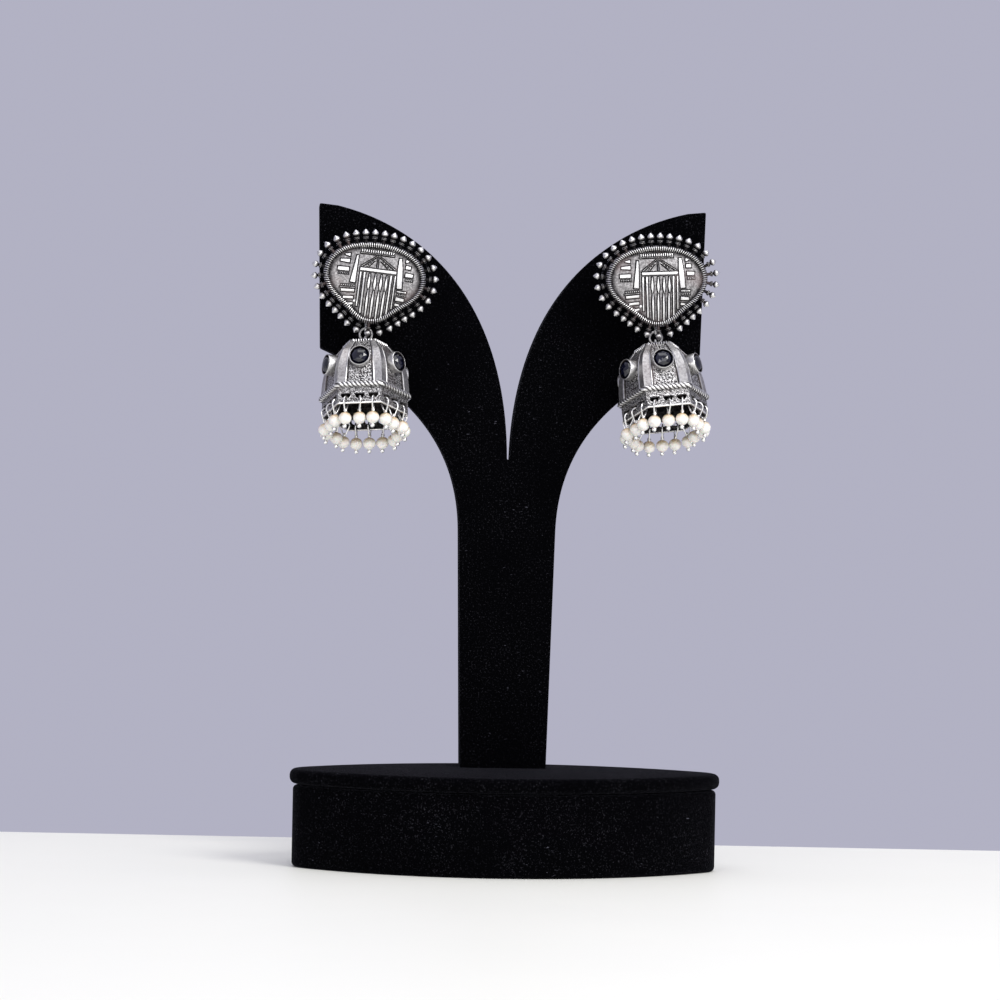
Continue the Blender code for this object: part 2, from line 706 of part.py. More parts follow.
def bell_mesh():
    """Dome, gallery, ropes, collets and eye as one hollow body."""
    gallery_profile = (
        (0.0, -(DOME_DROP - BELL_WALL)),
        (GALLERY_RADIUS, -(DOME_DROP - BELL_WALL)),
        (GALLERY_RADIUS, -GALLERY_BOTTOM_DROP),
        (0.0, -GALLERY_BOTTOM_DROP),
    )
    gallery = turned_mesh("gallery", gallery_profile, BELL_SIDES)
    rope = wire_mesh("rope", hexagon(ROPE_RING_RADIUS, ROPE_DROP), ROPE_RADIUS, closed=True)
    cap_corners = hexagon(CAP_RADIUS, CAP_TOP_DROP + CAP_ROPE_RADIUS / 2)
    cap_rope = wire_mesh("cap_rope", cap_corners, CAP_ROPE_RADIUS, closed=True)
    eye = ring_mesh("eye", EYE_RING_RADIUS, EYE_WIRE_RADIUS, (1.0, 0.0, 0.0))
    stem = rod_mesh("stem", STEM_RADIUS, (0.0, 0.0, -EYE_RING_RADIUS + EYE_WIRE_RADIUS / 2),
                    (0.0, 0.0, -CAP_TOP_DROP - BELL_WALL / 2), LUG_SIDES)

    seat = Vector((0.0, 0.0, -COLLET_DROP))
    axis = collet_axis()
    tube = rod_mesh("collet", COLLET_RADIUS, seat + axis * COLLET_INNER_REACH,
                    seat + axis * COLLET_REACH, COLLET_SIDES)
    bore = rod_mesh("bore", COLLET_BORE_RADIUS, seat + axis * (COLLET_REACH - COLLET_BORE_DEPTH),
                    seat + axis * (COLLET_REACH + BELL_WALL), COLLET_SIDES)
    window = window_mesh()
    tubes = [moved(tube, turn) for turn in side_turns()]
    bores = [moved(bore, turn) for turn in side_turns()]
    windows = []
    for turn in side_turns():
        for offset in window_offsets():
            windows.append(moved(window, turn @ Matrix.Translation((offset, 0.0, 0.0))))
    return fused("bell", dome_mesh(), added=[gallery, rope, cap_rope, eye, stem, gathered("collets", tubes)],
                 cut=[hollow_mesh(), gathered("bores", bores), gathered("windows", windows)])


def stone_mesh():
    """A faceted stone that lies in the front collet, its table outwards."""
    radius = COLLET_BORE_RADIUS - STONE_GAP
    profile = (
        (0.0, STONE_GIRDLE + STONE_CROWN),
        (STONE_TABLE_SHARE * radius, STONE_GIRDLE + STONE_CROWN),
        (radius, STONE_GIRDLE),
        (radius, 0.0),
        (0.0, 0.0),
    )
    stone = turned_mesh("stone", profile, STONE_SIDES)
    axis = collet_axis()
    turn = Vector((0.0, 0.0, 1.0)).rotation_difference(axis).to_matrix().to_4x4()
    seat = Vector((0.0, 0.0, -COLLET_DROP)) + axis * (COLLET_REACH - COLLET_BORE_DEPTH + STONE_GAP)
    stone.transform(Matrix.Translation(seat) @ turn)
    return stone


def pearl_mesh():
    """Pearl under its wire loop, with a ball tip; the loop's plane is XZ."""
    shoulder = PEARL_WAIST_SHARE * PEARL_RADIUS
    middle = -PEARL_DROP
    profile = (
        (0.0, PEARL_RADIUS),
        (shoulder, shoulder),
        (PEARL_RADIUS, 0.0),
        (shoulder, -shoulder),
        (0.0, -PEARL_RADIUS),
    )
    pearl = turned_mesh("pearl", profile, PEARL_SIDES)
    flat_up = Matrix.Rotation(math.pi / PEARL_SIDES, 4, "Y") @ Matrix.Rotation(math.radians(90.0), 4, "X")
    pearl = moved(pearl, Matrix.Translation((0.0, 0.0, middle)) @ flat_up)
    tip_z = middle - PEARL_RADIUS - TIP_RADIUS / 2
    tip_profile = ((0.0, tip_z + 2 * TIP_RADIUS), (TIP_RADIUS, tip_z), (0.0, tip_z - TIP_RADIUS))
    tip = turned_mesh("tip", tip_profile, TIP_SIDES)
    strip_half = (GALLERY_BOTTOM_DROP - WINDOW_BOTTOM_DROP) / 2
    crown_z = strip_half + LOOP_CLEARANCE + LOOP_WIRE_RADIUS - LOOP_HALF_WIDTH
    neck_z = middle + PEARL_RADIUS - LOOP_ROOT
    crown = arc((0.0, crown_z), LOOP_HALF_WIDTH, math.radians(LOOP_OPENING_DEG),
                math.radians(180.0 - LOOP_OPENING_DEG), LOOP_ARC_POINTS)
    points = crown + [(0.0, neck_z)]
    loop = wire_mesh("loop", [(x, 0.0, z) for x, z in points], LOOP_WIRE_RADIUS, closed=True)
    return fused("pearl_drop", pearl, added=[loop, tip])


def pearl_matrices(bell_turn):
    """Place of each pearl drop in the bell's own frame: hung plumb, its loop across the wall."""
    middle = apothem(GALLERY_RADIUS) - BELL_WALL / 2
    strip_drop = (WINDOW_BOTTOM_DROP + GALLERY_BOTTOM_DROP) / 2
    plumb = bell_turn.to_3x3().inverted().to_4x4()
    matrices = []
    for turn in side_turns():
        for offset in window_offsets():
            hook = turn @ Vector((offset, -middle, -strip_drop))
            outward = bell_turn.to_3x3() @ (turn.to_3x3() @ Vector((0.0, -1.0, 0.0)))
            heading = Matrix.Rotation(math.atan2(outward.y, outward.x), 4, "Z")
            splay = 0.0 if abs(offset) < WINDOW_PITCH / 2 else math.radians(CORNER_SPLAY_DEG)
            matrices.append(Matrix.Translation(hook) @ plumb @ heading @ Matrix.Rotation(-splay, 4, "Y"))
    return matrices


def build_earring(side, place, stud, link, bell, stone, pearl):
    """One earring: stud in the panel, link in the stud's eye, bell with its drops in the link."""
    roll = Matrix.Rotation(math.radians(place["stud_roll"]), 4, "Y")
    stud_frame = Matrix.Translation((place["x"], PLATE_BACK_Y, place["z"])) @ roll
    piece(side + "_stud", stud, SILVER, matrix=stud_frame)

    eye_centre = stud_frame @ Vector((EYE_OFFSET, LINK_PLANE_SETBACK, -EYE_DROP))
    link_pivot = pivot(side + "_link_pivot", Matrix.Translation(eye_centre))
    piece(side + "_link", link, SILVER, link_pivot)

    hang_point = eye_centre - Vector((0.0, 0.0, 2 * LINK_RING_RADIUS))
    bell_turn = (Matrix.Rotation(math.radians(place["roll"]), 4, "Y")
                 @ Matrix.Rotation(math.radians(-place["lean"]), 4, "X")
                 @ Matrix.Rotation(math.radians(place["spin"]), 4, "Z"))
    bell_pivot = pivot(side + "_bell_pivot", Matrix.Translation(hang_point) @ bell_turn)
    piece(side + "_bell", bell, SILVER, bell_pivot)
    for number, turn in enumerate(side_turns(), 1):
        piece(f"{side}_stone_{number}", stone, STONE, bell_pivot, turn)
    for number, matrix in enumerate(pearl_matrices(bell_turn), 1):
        piece(f"{side}_pearl_{number:02d}", pearl, PEARL, bell_pivot, matrix)


def build_earrings():
    """Both earrings, which share their meshes."""
    stud = stud_mesh()
    link = moved(ring_mesh("link", LINK_RING_RADIUS, LINK_WIRE_RADIUS, (0.0, 1.0, 0.0)),
                 Matrix.Translation((0.0, 0.0, -LINK_RING_RADIUS)))
    bell = bell_mesh()
    stone = stone_mesh()
    pearl = pearl_mesh()
    for side, place in EARRINGS.items():
        build_earring(side, place, stud, link, bell, stone, pearl)


clear_scene()
PARTS = collection("jhumka_earrings_on_stand")
CUTTERS = collection("cutters")
VELVET = finish("black_velvet", (0.008, 0.008, 0.01), 0.95, 0.0)
SILVER = finish("oxidised_silver", (0.55, 0.54, 0.52), 0.35, 1.0)
STONE = finish("dark_stone", (0.01, 0.012, 0.03), 0.08, 0.0)
PEARL = finish("pearl", (0.9, 0.87, 0.8), 0.3, 0.0)
build_stand()
build_earrings()
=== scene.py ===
"""Pair of jhumka earrings on a black velvet stand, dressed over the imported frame.

Shapes are worked in millimetres and become metres when a piece is finished. As in
the frame, +X runs to the right, +Y away from the viewer and +Z up.
"""
import logging
import math
from dataclasses import dataclass, field
from enum import Enum
from typing import Callable, Iterable, NamedTuple, Optional, Sequence, Union

import bmesh
import bpy
from mathutils import Matrix, Vector, noise


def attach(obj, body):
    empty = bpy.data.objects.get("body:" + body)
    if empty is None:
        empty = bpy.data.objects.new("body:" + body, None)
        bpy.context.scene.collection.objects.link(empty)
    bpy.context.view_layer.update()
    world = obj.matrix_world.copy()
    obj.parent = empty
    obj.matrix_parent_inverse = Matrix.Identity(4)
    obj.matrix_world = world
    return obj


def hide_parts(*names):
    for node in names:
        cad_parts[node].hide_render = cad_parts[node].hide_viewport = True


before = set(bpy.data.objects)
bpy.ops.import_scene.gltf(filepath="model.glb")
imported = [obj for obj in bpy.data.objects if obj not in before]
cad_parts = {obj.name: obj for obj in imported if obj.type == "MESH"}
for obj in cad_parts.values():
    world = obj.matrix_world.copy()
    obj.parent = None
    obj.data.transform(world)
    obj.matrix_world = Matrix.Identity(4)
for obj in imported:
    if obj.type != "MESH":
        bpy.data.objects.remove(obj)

LOG = logging.getLogger("jhumka")
MM = 0.001
# Distances in millimetres within which points of one sheet, and of two sheets, are merged.
WELD = 0.002
STITCH = 0.02
TURN = 2.0 * math.pi
UP = Vector((0.0, 0.0, 1.0))
BACK = Vector((0.0, 1.0, 0.0))
Number = Union[int, float]
Place = Callable[[float, float], "Spot"]
Measure = Union[float, Callable[[float, float], float]]


class Body(Enum):
    """The frame's bodies that pieces ride on."""

    STAND = "stand_and_studs"
    LEFT_LINK = "left_link"
    LEFT_BELL = "left_bell"
    RIGHT_LINK = "right_link"
    RIGHT_BELL = "right_bell"


class Slot(Enum):
    """The record's material slots."""

    VELVET = "black_velvet"
    SILVER = "oxidised_silver"
    STONE = "dark_stone"
    PEARL = "pearl"


class Spot(NamedTuple):
    """A point of a surface, how polished it is and how grained."""

    point: Vector
    polish: float = 1.0
    grain: float = 0.0


def mixed(first: float, second: float, share: float) -> float:
    """A value a share of the way between two others."""
    return first + (second - first) * share


def eased(value: float) -> float:
    """A smooth step between 0 and 1."""
    held = min(max(value, 0.0), 1.0)
    return held * held * (3.0 - 2.0 * held)


def along(table: Sequence[float], share: float) -> float:
    """Reads a list of evenly spaced values at a share of its length.

    Args:
        table: The values.
        share: Place in the list, from 0 to 1.

    Returns:
        The value there, straight between its neighbours.
    """
    spot = min(max(share, 0.0), 1.0) * (len(table) - 1)
    index = min(int(spot), len(table) - 2)
    return mixed(table[index], table[index + 1], spot - index)


def aimed(direction: Vector) -> Matrix:
    """Turn that brings +Z to a direction."""
    return UP.rotation_difference(direction).to_matrix().to_4x4()


def turned_by(degrees: float, axis: str) -> Matrix:
    """Turn about one of the frame's axes."""
    return Matrix.Rotation(math.radians(degrees), 4, axis)


def read(measure: Measure, share: float, angle: float) -> float:
    """A measure that may change along a wire and round it."""
    return measure(share, angle) if callable(measure) else measure


def upright_ring(radius: float, count: int, across: Vector) -> list[Vector]:
    """Points of an upright circle, from one side upwards.

    Args:
        radius: Its radius.
        count: How many points.
        across: The level direction in its plane.

    Returns:
        The points, in order.
    """
    turns = [TURN * step / count for step in range(count)]
    return [(across * math.cos(turn) + UP * math.sin(turn)) * radius for turn in turns]


class Wire:
    """A socket of a shader graph that takes part in sums."""

    def __init__(self, graph: "Graph", socket: bpy.types.NodeSocket) -> None:
        """Wraps an output socket of a graph."""
        self.graph = graph
        self.socket = socket

    def _sum(self, operation: str, first: "Input", second: "Input") -> "Wire":
        """Adds a Math node."""
        return self.graph.node("ShaderNodeMath", {"operation": operation}, {0: first, 1: second})

    def __add__(self, other: "Input") -> "Wire":
        """This plus another."""
        return self._sum("ADD", self, other)

    def __radd__(self, other: "Input") -> "Wire":
        """Another plus this."""
        return self._sum("ADD", other, self)

    def __sub__(self, other: "Input") -> "Wire":
        """This less another."""
        return self._sum("SUBTRACT", self, other)

    def __rsub__(self, other: "Input") -> "Wire":
        """Another less this."""
        return self._sum("SUBTRACT", other, self)

    def __mul__(self, other: "Input") -> "Wire":
        """This times another."""
        return self._sum("MULTIPLY", self, other)

    def __rmul__(self, other: "Input") -> "Wire":
        """Another times this."""
        return self._sum("MULTIPLY", other, self)


Input = Union[Wire, Number, tuple]


class Graph:
    """The node graph of one material, built from its Principled shader backwards."""

    def __init__(self, name: str) -> None:
        """Starts a material.

        Args:
            name: The material's name.
        """
        self.material = bpy.data.materials.new(name)
        self.material.use_nodes = True
        self.nodes = self.material.node_tree.nodes
        self.links = self.material.node_tree.links
        self.shader = self.nodes["Principled BSDF"]

    def feed(self, socket: bpy.types.NodeSocket, value: Input) -> None:
        """Links a wire to a socket, or sets the socket to a constant.

        Args:
            socket: An input socket.
            value: A wire or a constant.
        """
        if isinstance(value, Wire):
            self.links.new(value.socket, socket)
        elif isinstance(value, tuple) and len(value) == 3 and socket.type == "RGBA":
            socket.default_value = (*value, 1.0)
        else:
            socket.default_value = value

    def node(self, kind: str, settings: Optional[dict] = None, inputs: Optional[dict] = None,
             output: Union[int, str] = 0) -> Wire:
        """Adds a node.

        Args:
            kind: The node's type.
            settings: Its own properties, set before its sockets.
            inputs: Values or wires by socket name or number.
            output: The socket that is handed on.

        Returns:
            The chosen output.
        """
        made = self.nodes.new(kind)
        for name, value in (settings or {}).items():
            setattr(made, name, value)
        for name, value in (inputs or {}).items():
            self.feed(made.inputs[name], value)
        return Wire(self, made.outputs[output])

    def place(self, scale: Sequence[float] = (1.0, 1.0, 1.0)) -> Wire:
        """Object coordinates, stretched axis by axis."""
        spot = self.node("ShaderNodeTexCoord", output="Object")
        return self.node("ShaderNodeMapping", inputs={"Vector": spot, "Scale": tuple(scale)})

    def clouds(self, pitch: float, detail: float = 3.0, rough: float = 0.55,
               place: Optional[Wire] = None) -> Wire:
        """Noise whose features are about a pitch in millimetres wide.

        Args:
            pitch: Width of a feature, in millimetres.
            detail: Octaves of finer noise.
            rough: Share of the finer noise.
            place: Coordinates, if not the object's.

        Returns:
            The noise, about 0.5 on average.
        """
        return self.node("ShaderNodeTexNoise", inputs={
            "Vector": place or self.place(), "Scale": 1.0 / (pitch * MM),
            "Detail": detail, "Roughness": rough})

    def cells(self, pitch: float) -> Wire:
        """Distance to the nearest of many scattered points, a pitch apart."""
        return self.node("ShaderNodeTexVoronoi", {"feature": "F1"}, {
            "Vector": self.place(), "Scale": 1.0 / (pitch * MM)}, "Distance")

    def spread(self, value: Wire, low: float, high: float, bottom: float = 0.0,
               top: float = 1.0) -> Wire:
        """A value's range from low to high brought to another range, held at its ends."""
        return self.node("ShaderNodeMapRange", {"clamp": True}, {
            "Value": value, "From Min": low, "From Max": high, "To Min": bottom, "To Max": top})

    def tint(self, share: Input, first: Input, second: Input) -> Wire:
        """A colour a share of the way between two others."""
        return self.node("ShaderNodeMix", {"data_type": "RGBA"}, {0: share, 6: first, 7: second}, 2)

    def own(self, name: str) -> Wire:
        """A value that the mesh itself carries."""
        return self.node("ShaderNodeAttribute", {"attribute_name": name}, output="Fac")

    def bump(self, height: Wire, depth: float, strength: float = 1.0,
             under: Optional[Wire] = None) -> Wire:
        """A normal from heights, of a depth in millimetres, over another normal if one is given.

        Args:
            height: The heights.
            depth: Height of a full step, in millimetres.
            strength: Share of the effect.
            under: A normal that lies below it.

        Returns:
            The normal.
        """
        inputs = {"Height": height, "Distance": depth * MM, "Strength": strength}
        if under is not None:
            inputs["Normal"] = under
        return self.node("ShaderNodeBump", inputs=inputs, output="Normal")

    def dress(self, **sockets: Input) -> bpy.types.Material:
        """Feeds the Principled shader's sockets, named with underscores for spaces.

        Args:
            sockets: Values or wires by socket name.

        Returns:
            The finished material.
        """
        for name, value in sockets.items():
            self.feed(self.shader.inputs[name.replace("_", " ")], value)
        return self.material


@dataclass(frozen=True)
class Velvet:
    """Black pile cloth with a cool sheen, small light specks of dust and of painted sheen, and bits of lint.
    """

    deep: tuple = (0.0008, 0.0008, 0.0012)
    # Speck colour: partly light dust in the pile, partly painted sheen standing in for the sheen texture of
    # the board's top.
    speck_dust_and_sheen: tuple = (0.036, 0.035, 0.042)
    lint: tuple = (0.16, 0.16, 0.20)
    sheen: tuple = (0.70, 0.70, 0.86)

    def material(self) -> bpy.types.Material:
        """Builds the velvet.

        Returns:
            The material.
        """
        graph = Graph("black_velvet")
        pile = graph.clouds(0.42, 4.0, 0.7)
        brushed = graph.clouds(14.0, 2.0, 0.5)
        # Light specks painted into the base colour: dust in the pile, and painted sheen glints, patchier
        # where the pile is brushed.
        specks = graph.spread(pile, 0.57, 0.72)
        base = graph.tint(specks * graph.spread(brushed, 0.3, 0.7, 0.25, 1.0), self.deep, self.speck_dust_and_sheen)
        hairs = graph.clouds(0.45, 2.0, 0.5, graph.place((0.35, 0.35, 1.0)))
        strands = graph.spread(hairs, 0.70, 0.76) * graph.spread(graph.clouds(9.0), 0.5, 0.62)
        colour = graph.tint(strands * 0.35, base, self.lint)
        return graph.dress(
            Base_Color=colour, Roughness=graph.spread(brushed, 0.3, 0.7, 0.98, 0.86),
            Specular_IOR_Level=0.01, Sheen_Weight=0.042, Sheen_Roughness=0.24,
            Sheen_Tint=(*self.sheen, 1.0), Normal=graph.bump(pile, 0.34))


@dataclass(frozen=True)
class OxidisedSilver:
    """Cast silver: blackened in its hollows, warm on worn grain and bright where it is polished."""

    black: tuple = (0.014, 0.013, 0.014)
    grey: tuple = (0.24, 0.232, 0.232)
    bright: tuple = (0.84, 0.835, 0.82)
    tarnish: tuple = (0.24, 0.185, 0.18)

    def material(self) -> bpy.types.Material:
        """Builds the silver from the polish and grain that each spot carries.

        Returns:
            The material.
        """
        graph = Graph("oxidised_silver")
        polish = graph.own("polish")
        grain = graph.own("grain")
        pits = graph.spread(graph.cells(0.27), 0.30, 0.74)
        wear = graph.clouds(0.55, 4.0, 0.62)
        patches = graph.clouds(5.5, 3.0, 0.5)
        granules = (1.0 - pits) * graph.spread(wear, 0.3, 0.62, 0.55, 1.0)
        level = polish * (1.0 - grain) + grain * polish * granules * 1.25
        shaded = level + (graph.spread(wear, 0.34, 0.62) - 0.75) * 0.22 * (1.0 - polish * 0.55)
        ground = graph.tint(graph.spread(shaded, 0.02, 0.52), self.black, self.grey)
        metal = graph.tint(graph.spread(shaded, 0.42, 0.92), ground, self.bright)
        warm = graph.spread(patches, 0.50, 0.70) * (1.0 - graph.spread(shaded, 0.45, 0.95)) * 0.35
        rough = graph.spread(shaded, 0.1, 0.9, 0.55, 0.25) + graph.spread(wear, 0.3, 0.7, 0.0, 0.07)
        scuffs = graph.bump(wear, 0.02, 0.6, graph.bump(granules * grain, 0.07))
        return graph.dress(Base_Color=graph.tint(warm, metal, self.tarnish), Metallic=1.0,
                           Roughness=rough, Normal=scuffs)


@dataclass(frozen=True)
class DarkStone:
    """Polished near-black stone with a navy depth."""

    black: tuple = (0.0012, 0.0014, 0.0035)
    navy: tuple = (0.004, 0.005, 0.016)

    def material(self) -> bpy.types.Material:
        """Builds the stone.

        Returns:
            The material.
        """
        graph = Graph("dark_stone")
        colour = graph.tint(graph.spread(graph.clouds(1.6), 0.38, 0.68), self.black, self.navy)
        rough = graph.spread(graph.clouds(0.8), 0.3, 0.7, 0.02, 0.07)
        return graph.dress(Base_Color=colour, Roughness=rough, IOR=1.62)


@dataclass(frozen=True)
class PearlSkin:
    """Creamy pearl, beige round its drill hole."""

    cream: tuple = (0.82, 0.795, 0.73)
    cool: tuple = (0.74, 0.72, 0.685)
    beige: tuple = (0.50, 0.355, 0.18)

    def material(self) -> bpy.types.Material:
        """Builds the pearl; the mesh's polish runs from 0 at its hole to 1 at its foot.

        Returns:
            The material.
        """
        graph = Graph("pearl")
        depth = graph.own("polish")
        swirl = graph.clouds(1.1, 3.0, 0.5)
        skin = graph.tint(graph.spread(swirl, 0.42, 0.62), self.cream, self.cool)
        stain = graph.spread(depth + (swirl - 0.5) * 0.5, 0.08, 0.50, 0.9, 0.0)
        return graph.dress(
            Base_Color=graph.tint(stain, skin, self.beige),
            Roughness=graph.spread(swirl, 0.3, 0.7, 0.14, 0.26), Subsurface_Weight=0.1,
            Subsurface_Scale=0.4 * MM, Coat_Weight=0.5, Coat_Roughness=0.06,
            Normal=graph.bump(graph.clouds(0.8, 3.0, 0.5), 0.11))


@dataclass(frozen=True)
class TableTop:
    """Matt white table."""

    white: tuple = (0.85, 0.85, 0.785)
    shaded: tuple = (0.83, 0.83, 0.765)

    def material(self) -> bpy.types.Material:
        """Builds the table's finish.

        Returns:
            The material.
        """
        graph = Graph("white_table")
        shade = graph.clouds(60.0, 2.0, 0.5)
        colour = graph.tint(graph.spread(shade, 0.3, 0.7), self.white, self.shaded)
        return graph.dress(Base_Color=colour, Roughness=graph.spread(shade, 0.3, 0.7, 0.48, 0.56))


def set_down(shape: bmesh.types.BMesh, name: str, look: bpy.types.Material) -> bpy.types.Object:
    """Makes an object of a mesh in metres, and uses the mesh up.

    Args:
        shape: The mesh.
        name: The object's name.
        look: Its material.

    Returns:
        The object, in the scene.
    """
    mesh = bpy.data.meshes.new(name)
    shape.to_mesh(mesh)
    shape.free()
    mesh.materials.append(look)
    piece = bpy.data.objects.new(name, mesh)
    bpy.context.scene.collection.objects.link(piece)
    return piece


class Blank:
    """A piece of work in millimetres, whose vertices carry their polish and grain."""

    def __init__(self) -> None:
        """Starts an empty mesh."""
        self.shape = bmesh.new()
        self.shape.verts.layers.float.new("polish")
        self.shape.verts.layers.float.new("grain")

    def mark(self, verts: Iterable[bmesh.types.BMVert], polish: float, grain: float = 0.0) -> None:
        """Sets how polished and grained some vertices are.

        Args:
            verts: The vertices.
            polish: From 0, black, to 1, bright.
            grain: From 0, smooth, to 1, cast grain.
        """
        shine = self.shape.verts.layers.float["polish"]
        tooth = self.shape.verts.layers.float["grain"]
        for vert in verts:
            vert[shine] = polish
            vert[tooth] = grain

    def sheet(self, columns: int, rows: int, place: Place, closed: bool = True) -> "Blank":
        """Lays a grid over a surface.

        Args:
            columns: Faces across.
            rows: Faces up.
            place: Gives the spot at two shares, across and up.
            closed: Whether its edges meet, so that they are merged and it is turned outwards.

        Returns:
            This blank.
        """
        made = bmesh.ops.create_grid(self.shape, x_segments=columns, y_segments=rows, size=0.5)
        for vert in made["verts"]:
            spot = place(vert.co.x + 0.5, vert.co.y + 0.5)
            vert.co = spot.point
            self.mark([vert], spot.polish, spot.grain)
        if closed:
            bmesh.ops.remove_doubles(self.shape, verts=made["verts"], dist=WELD)
            kept = [vert for vert in made["verts"] if vert.is_valid]
            faces = list({face for vert in kept for face in vert.link_faces})
            bmesh.ops.recalc_face_normals(self.shape, faces=faces)
        return self

    def closed_up(self, merge: float = 0.0) -> "Blank":
        """Merges points within a distance, if one is given, and turns the faces outwards.

        Args:
            merge: The distance in millimetres.

        Returns:
            This blank.
        """
        if merge:
            bmesh.ops.remove_doubles(self.shape, verts=self.shape.verts, dist=merge)
        bmesh.ops.recalc_face_normals(self.shape, faces=self.shape.faces)
        return self

    def lathe(self, profile: Sequence[tuple], sides: int) -> "Blank":
        """Turns a profile about +Z.

        Args:
            profile: Rows of radius, height and polish, from one end to the other.
            sides: Steps of the full turn.

        Returns:
            This blank.
        """
        verts = [self.shape.verts.new((row[0], 0.0, row[1])) for row in profile]
        for vert, row in zip(verts, profile):
            self.mark([vert], row[2])
        edges = [self.shape.edges.new(pair) for pair in zip(verts, verts[1:])]
        bmesh.ops.spin(self.shape, geom=verts + edges, cent=(0.0, 0.0, 0.0), axis=UP, dvec=(0.0, 0.0, 0.0),
                       angle=TURN, steps=sides, use_merge=True, use_duplicate=False)
        return self.closed_up(WELD)

    def wire(self, path: Sequence[Vector], radius: Measure, sides: int, closed: bool,
             polish: Measure = 1.0) -> "Blank":
        """Sweeps a round section along a path.

        Args:
            path: Points in order; a closed path doesn't repeat its first.
            radius: The radius, or what gives it at a share along the path and an angle round it.
            sides: Sides of the section.
            closed: Whether the path closes on itself.
            polish: The polish, in the same way.

        Returns:
            This blank.
        """
        count = len(path)
        bends = []
        for index in range(count):
            before = path[index - 1] if closed or index else path[0]
            after = path[(index + 1) % count] if closed or index < count - 1 else path[-1]
            bends.append((after - before).normalized())
        sideways = bends[0].orthogonal().normalized()
        frames = []
        for bend in bends:
            sideways = (sideways - bend * sideways.dot(bend)).normalized()
            frames.append((sideways, bend.cross(sideways)))
        rows = count if closed else count - 1
        slack = 0.0
        if closed:
            first = frames[0]
            slack = math.atan2(frames[-1][0].dot(first[1]), frames[-1][0].dot(first[0]))

        def place(across: float, up: float) -> Spot:
            """Point of the tube at a share round it and a share along it.

            Args:
                across: Share across the sheet.
                up: Share up the sheet.

            Returns:
                The spot.
            """
            index = round(up * rows)
            angle = TURN * across
            side, other = frames[index % count]
            turn = angle - slack * up if index < count else angle
            reach = read(radius, up, angle)
            point = path[index % count] + (side * math.cos(turn) + other * math.sin(turn)) * reach
            return Spot(point, read(polish, up, angle))

        return self.sheet(sides, rows, place)

    def ball(self, radius: float, across: int, down: int, polish: float = 1.0) -> "Blank":
        """Adds a round bead.

        Args:
            radius: Its radius.
            across: Sides round it.
            down: Rings of it.
            polish: Its polish.

        Returns:
            This blank.
        """
        made = bmesh.ops.create_uvsphere(self.shape, u_segments=across, v_segments=down, radius=radius)
        self.mark(made["verts"], polish)
        return self

    def moved(self, matrix: Matrix) -> "Blank":
        """Moves all that is in the blank."""
        bmesh.ops.transform(self.shape, matrix=matrix, verts=self.shape.verts)
        return self

    def struck(self, other: "Blank", places: Iterable[Matrix] = (Matrix.Identity(4),)) -> "Blank":
        """Stamps copies of another blank into this one, and uses the other up.

        Args:
            other: What is copied.
            places: Where each copy goes; once as it lies, if none are given.

        Returns:
            This blank.
        """
        pattern = bpy.data.meshes.new("pattern")
        other.shape.to_mesh(pattern)
        other.shape.free()
        for matrix in places:
            copy = pattern.copy()
            copy.transform(matrix)
            self.shape.from_mesh(copy)
            bpy.data.meshes.remove(copy)
        bpy.data.meshes.remove(pattern)
        return self

    def finished(self, name: str, look: bpy.types.Material, body: Body, slot: Slot,
                 replaces: Sequence[str] = (), crease: float = 38.0) -> bpy.types.Object:
        """Makes the piece of the scene.

        Args:
            name: The piece's name.
            look: Its material.
            body: The body that it rides on.
            slot: The record's slot of its finish; not used.
            replaces: CAD nodes that it stands for.
            crease: Angle in degrees past which an edge stays sharp.

        Returns:
            The new object.
        """
        bmesh.ops.scale(self.shape, vec=(MM, MM, MM), verts=self.shape.verts)
        piece = set_down(self.shape, name, look)
        piece.data.shade_smooth()
        piece.data.set_sharp_from_angle(angle=math.radians(crease))
        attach(piece, body.value)
        if replaces:
            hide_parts(*replaces)
        LOG.info("%s: %d faces", name, len(piece.data.polygons))
        return piece


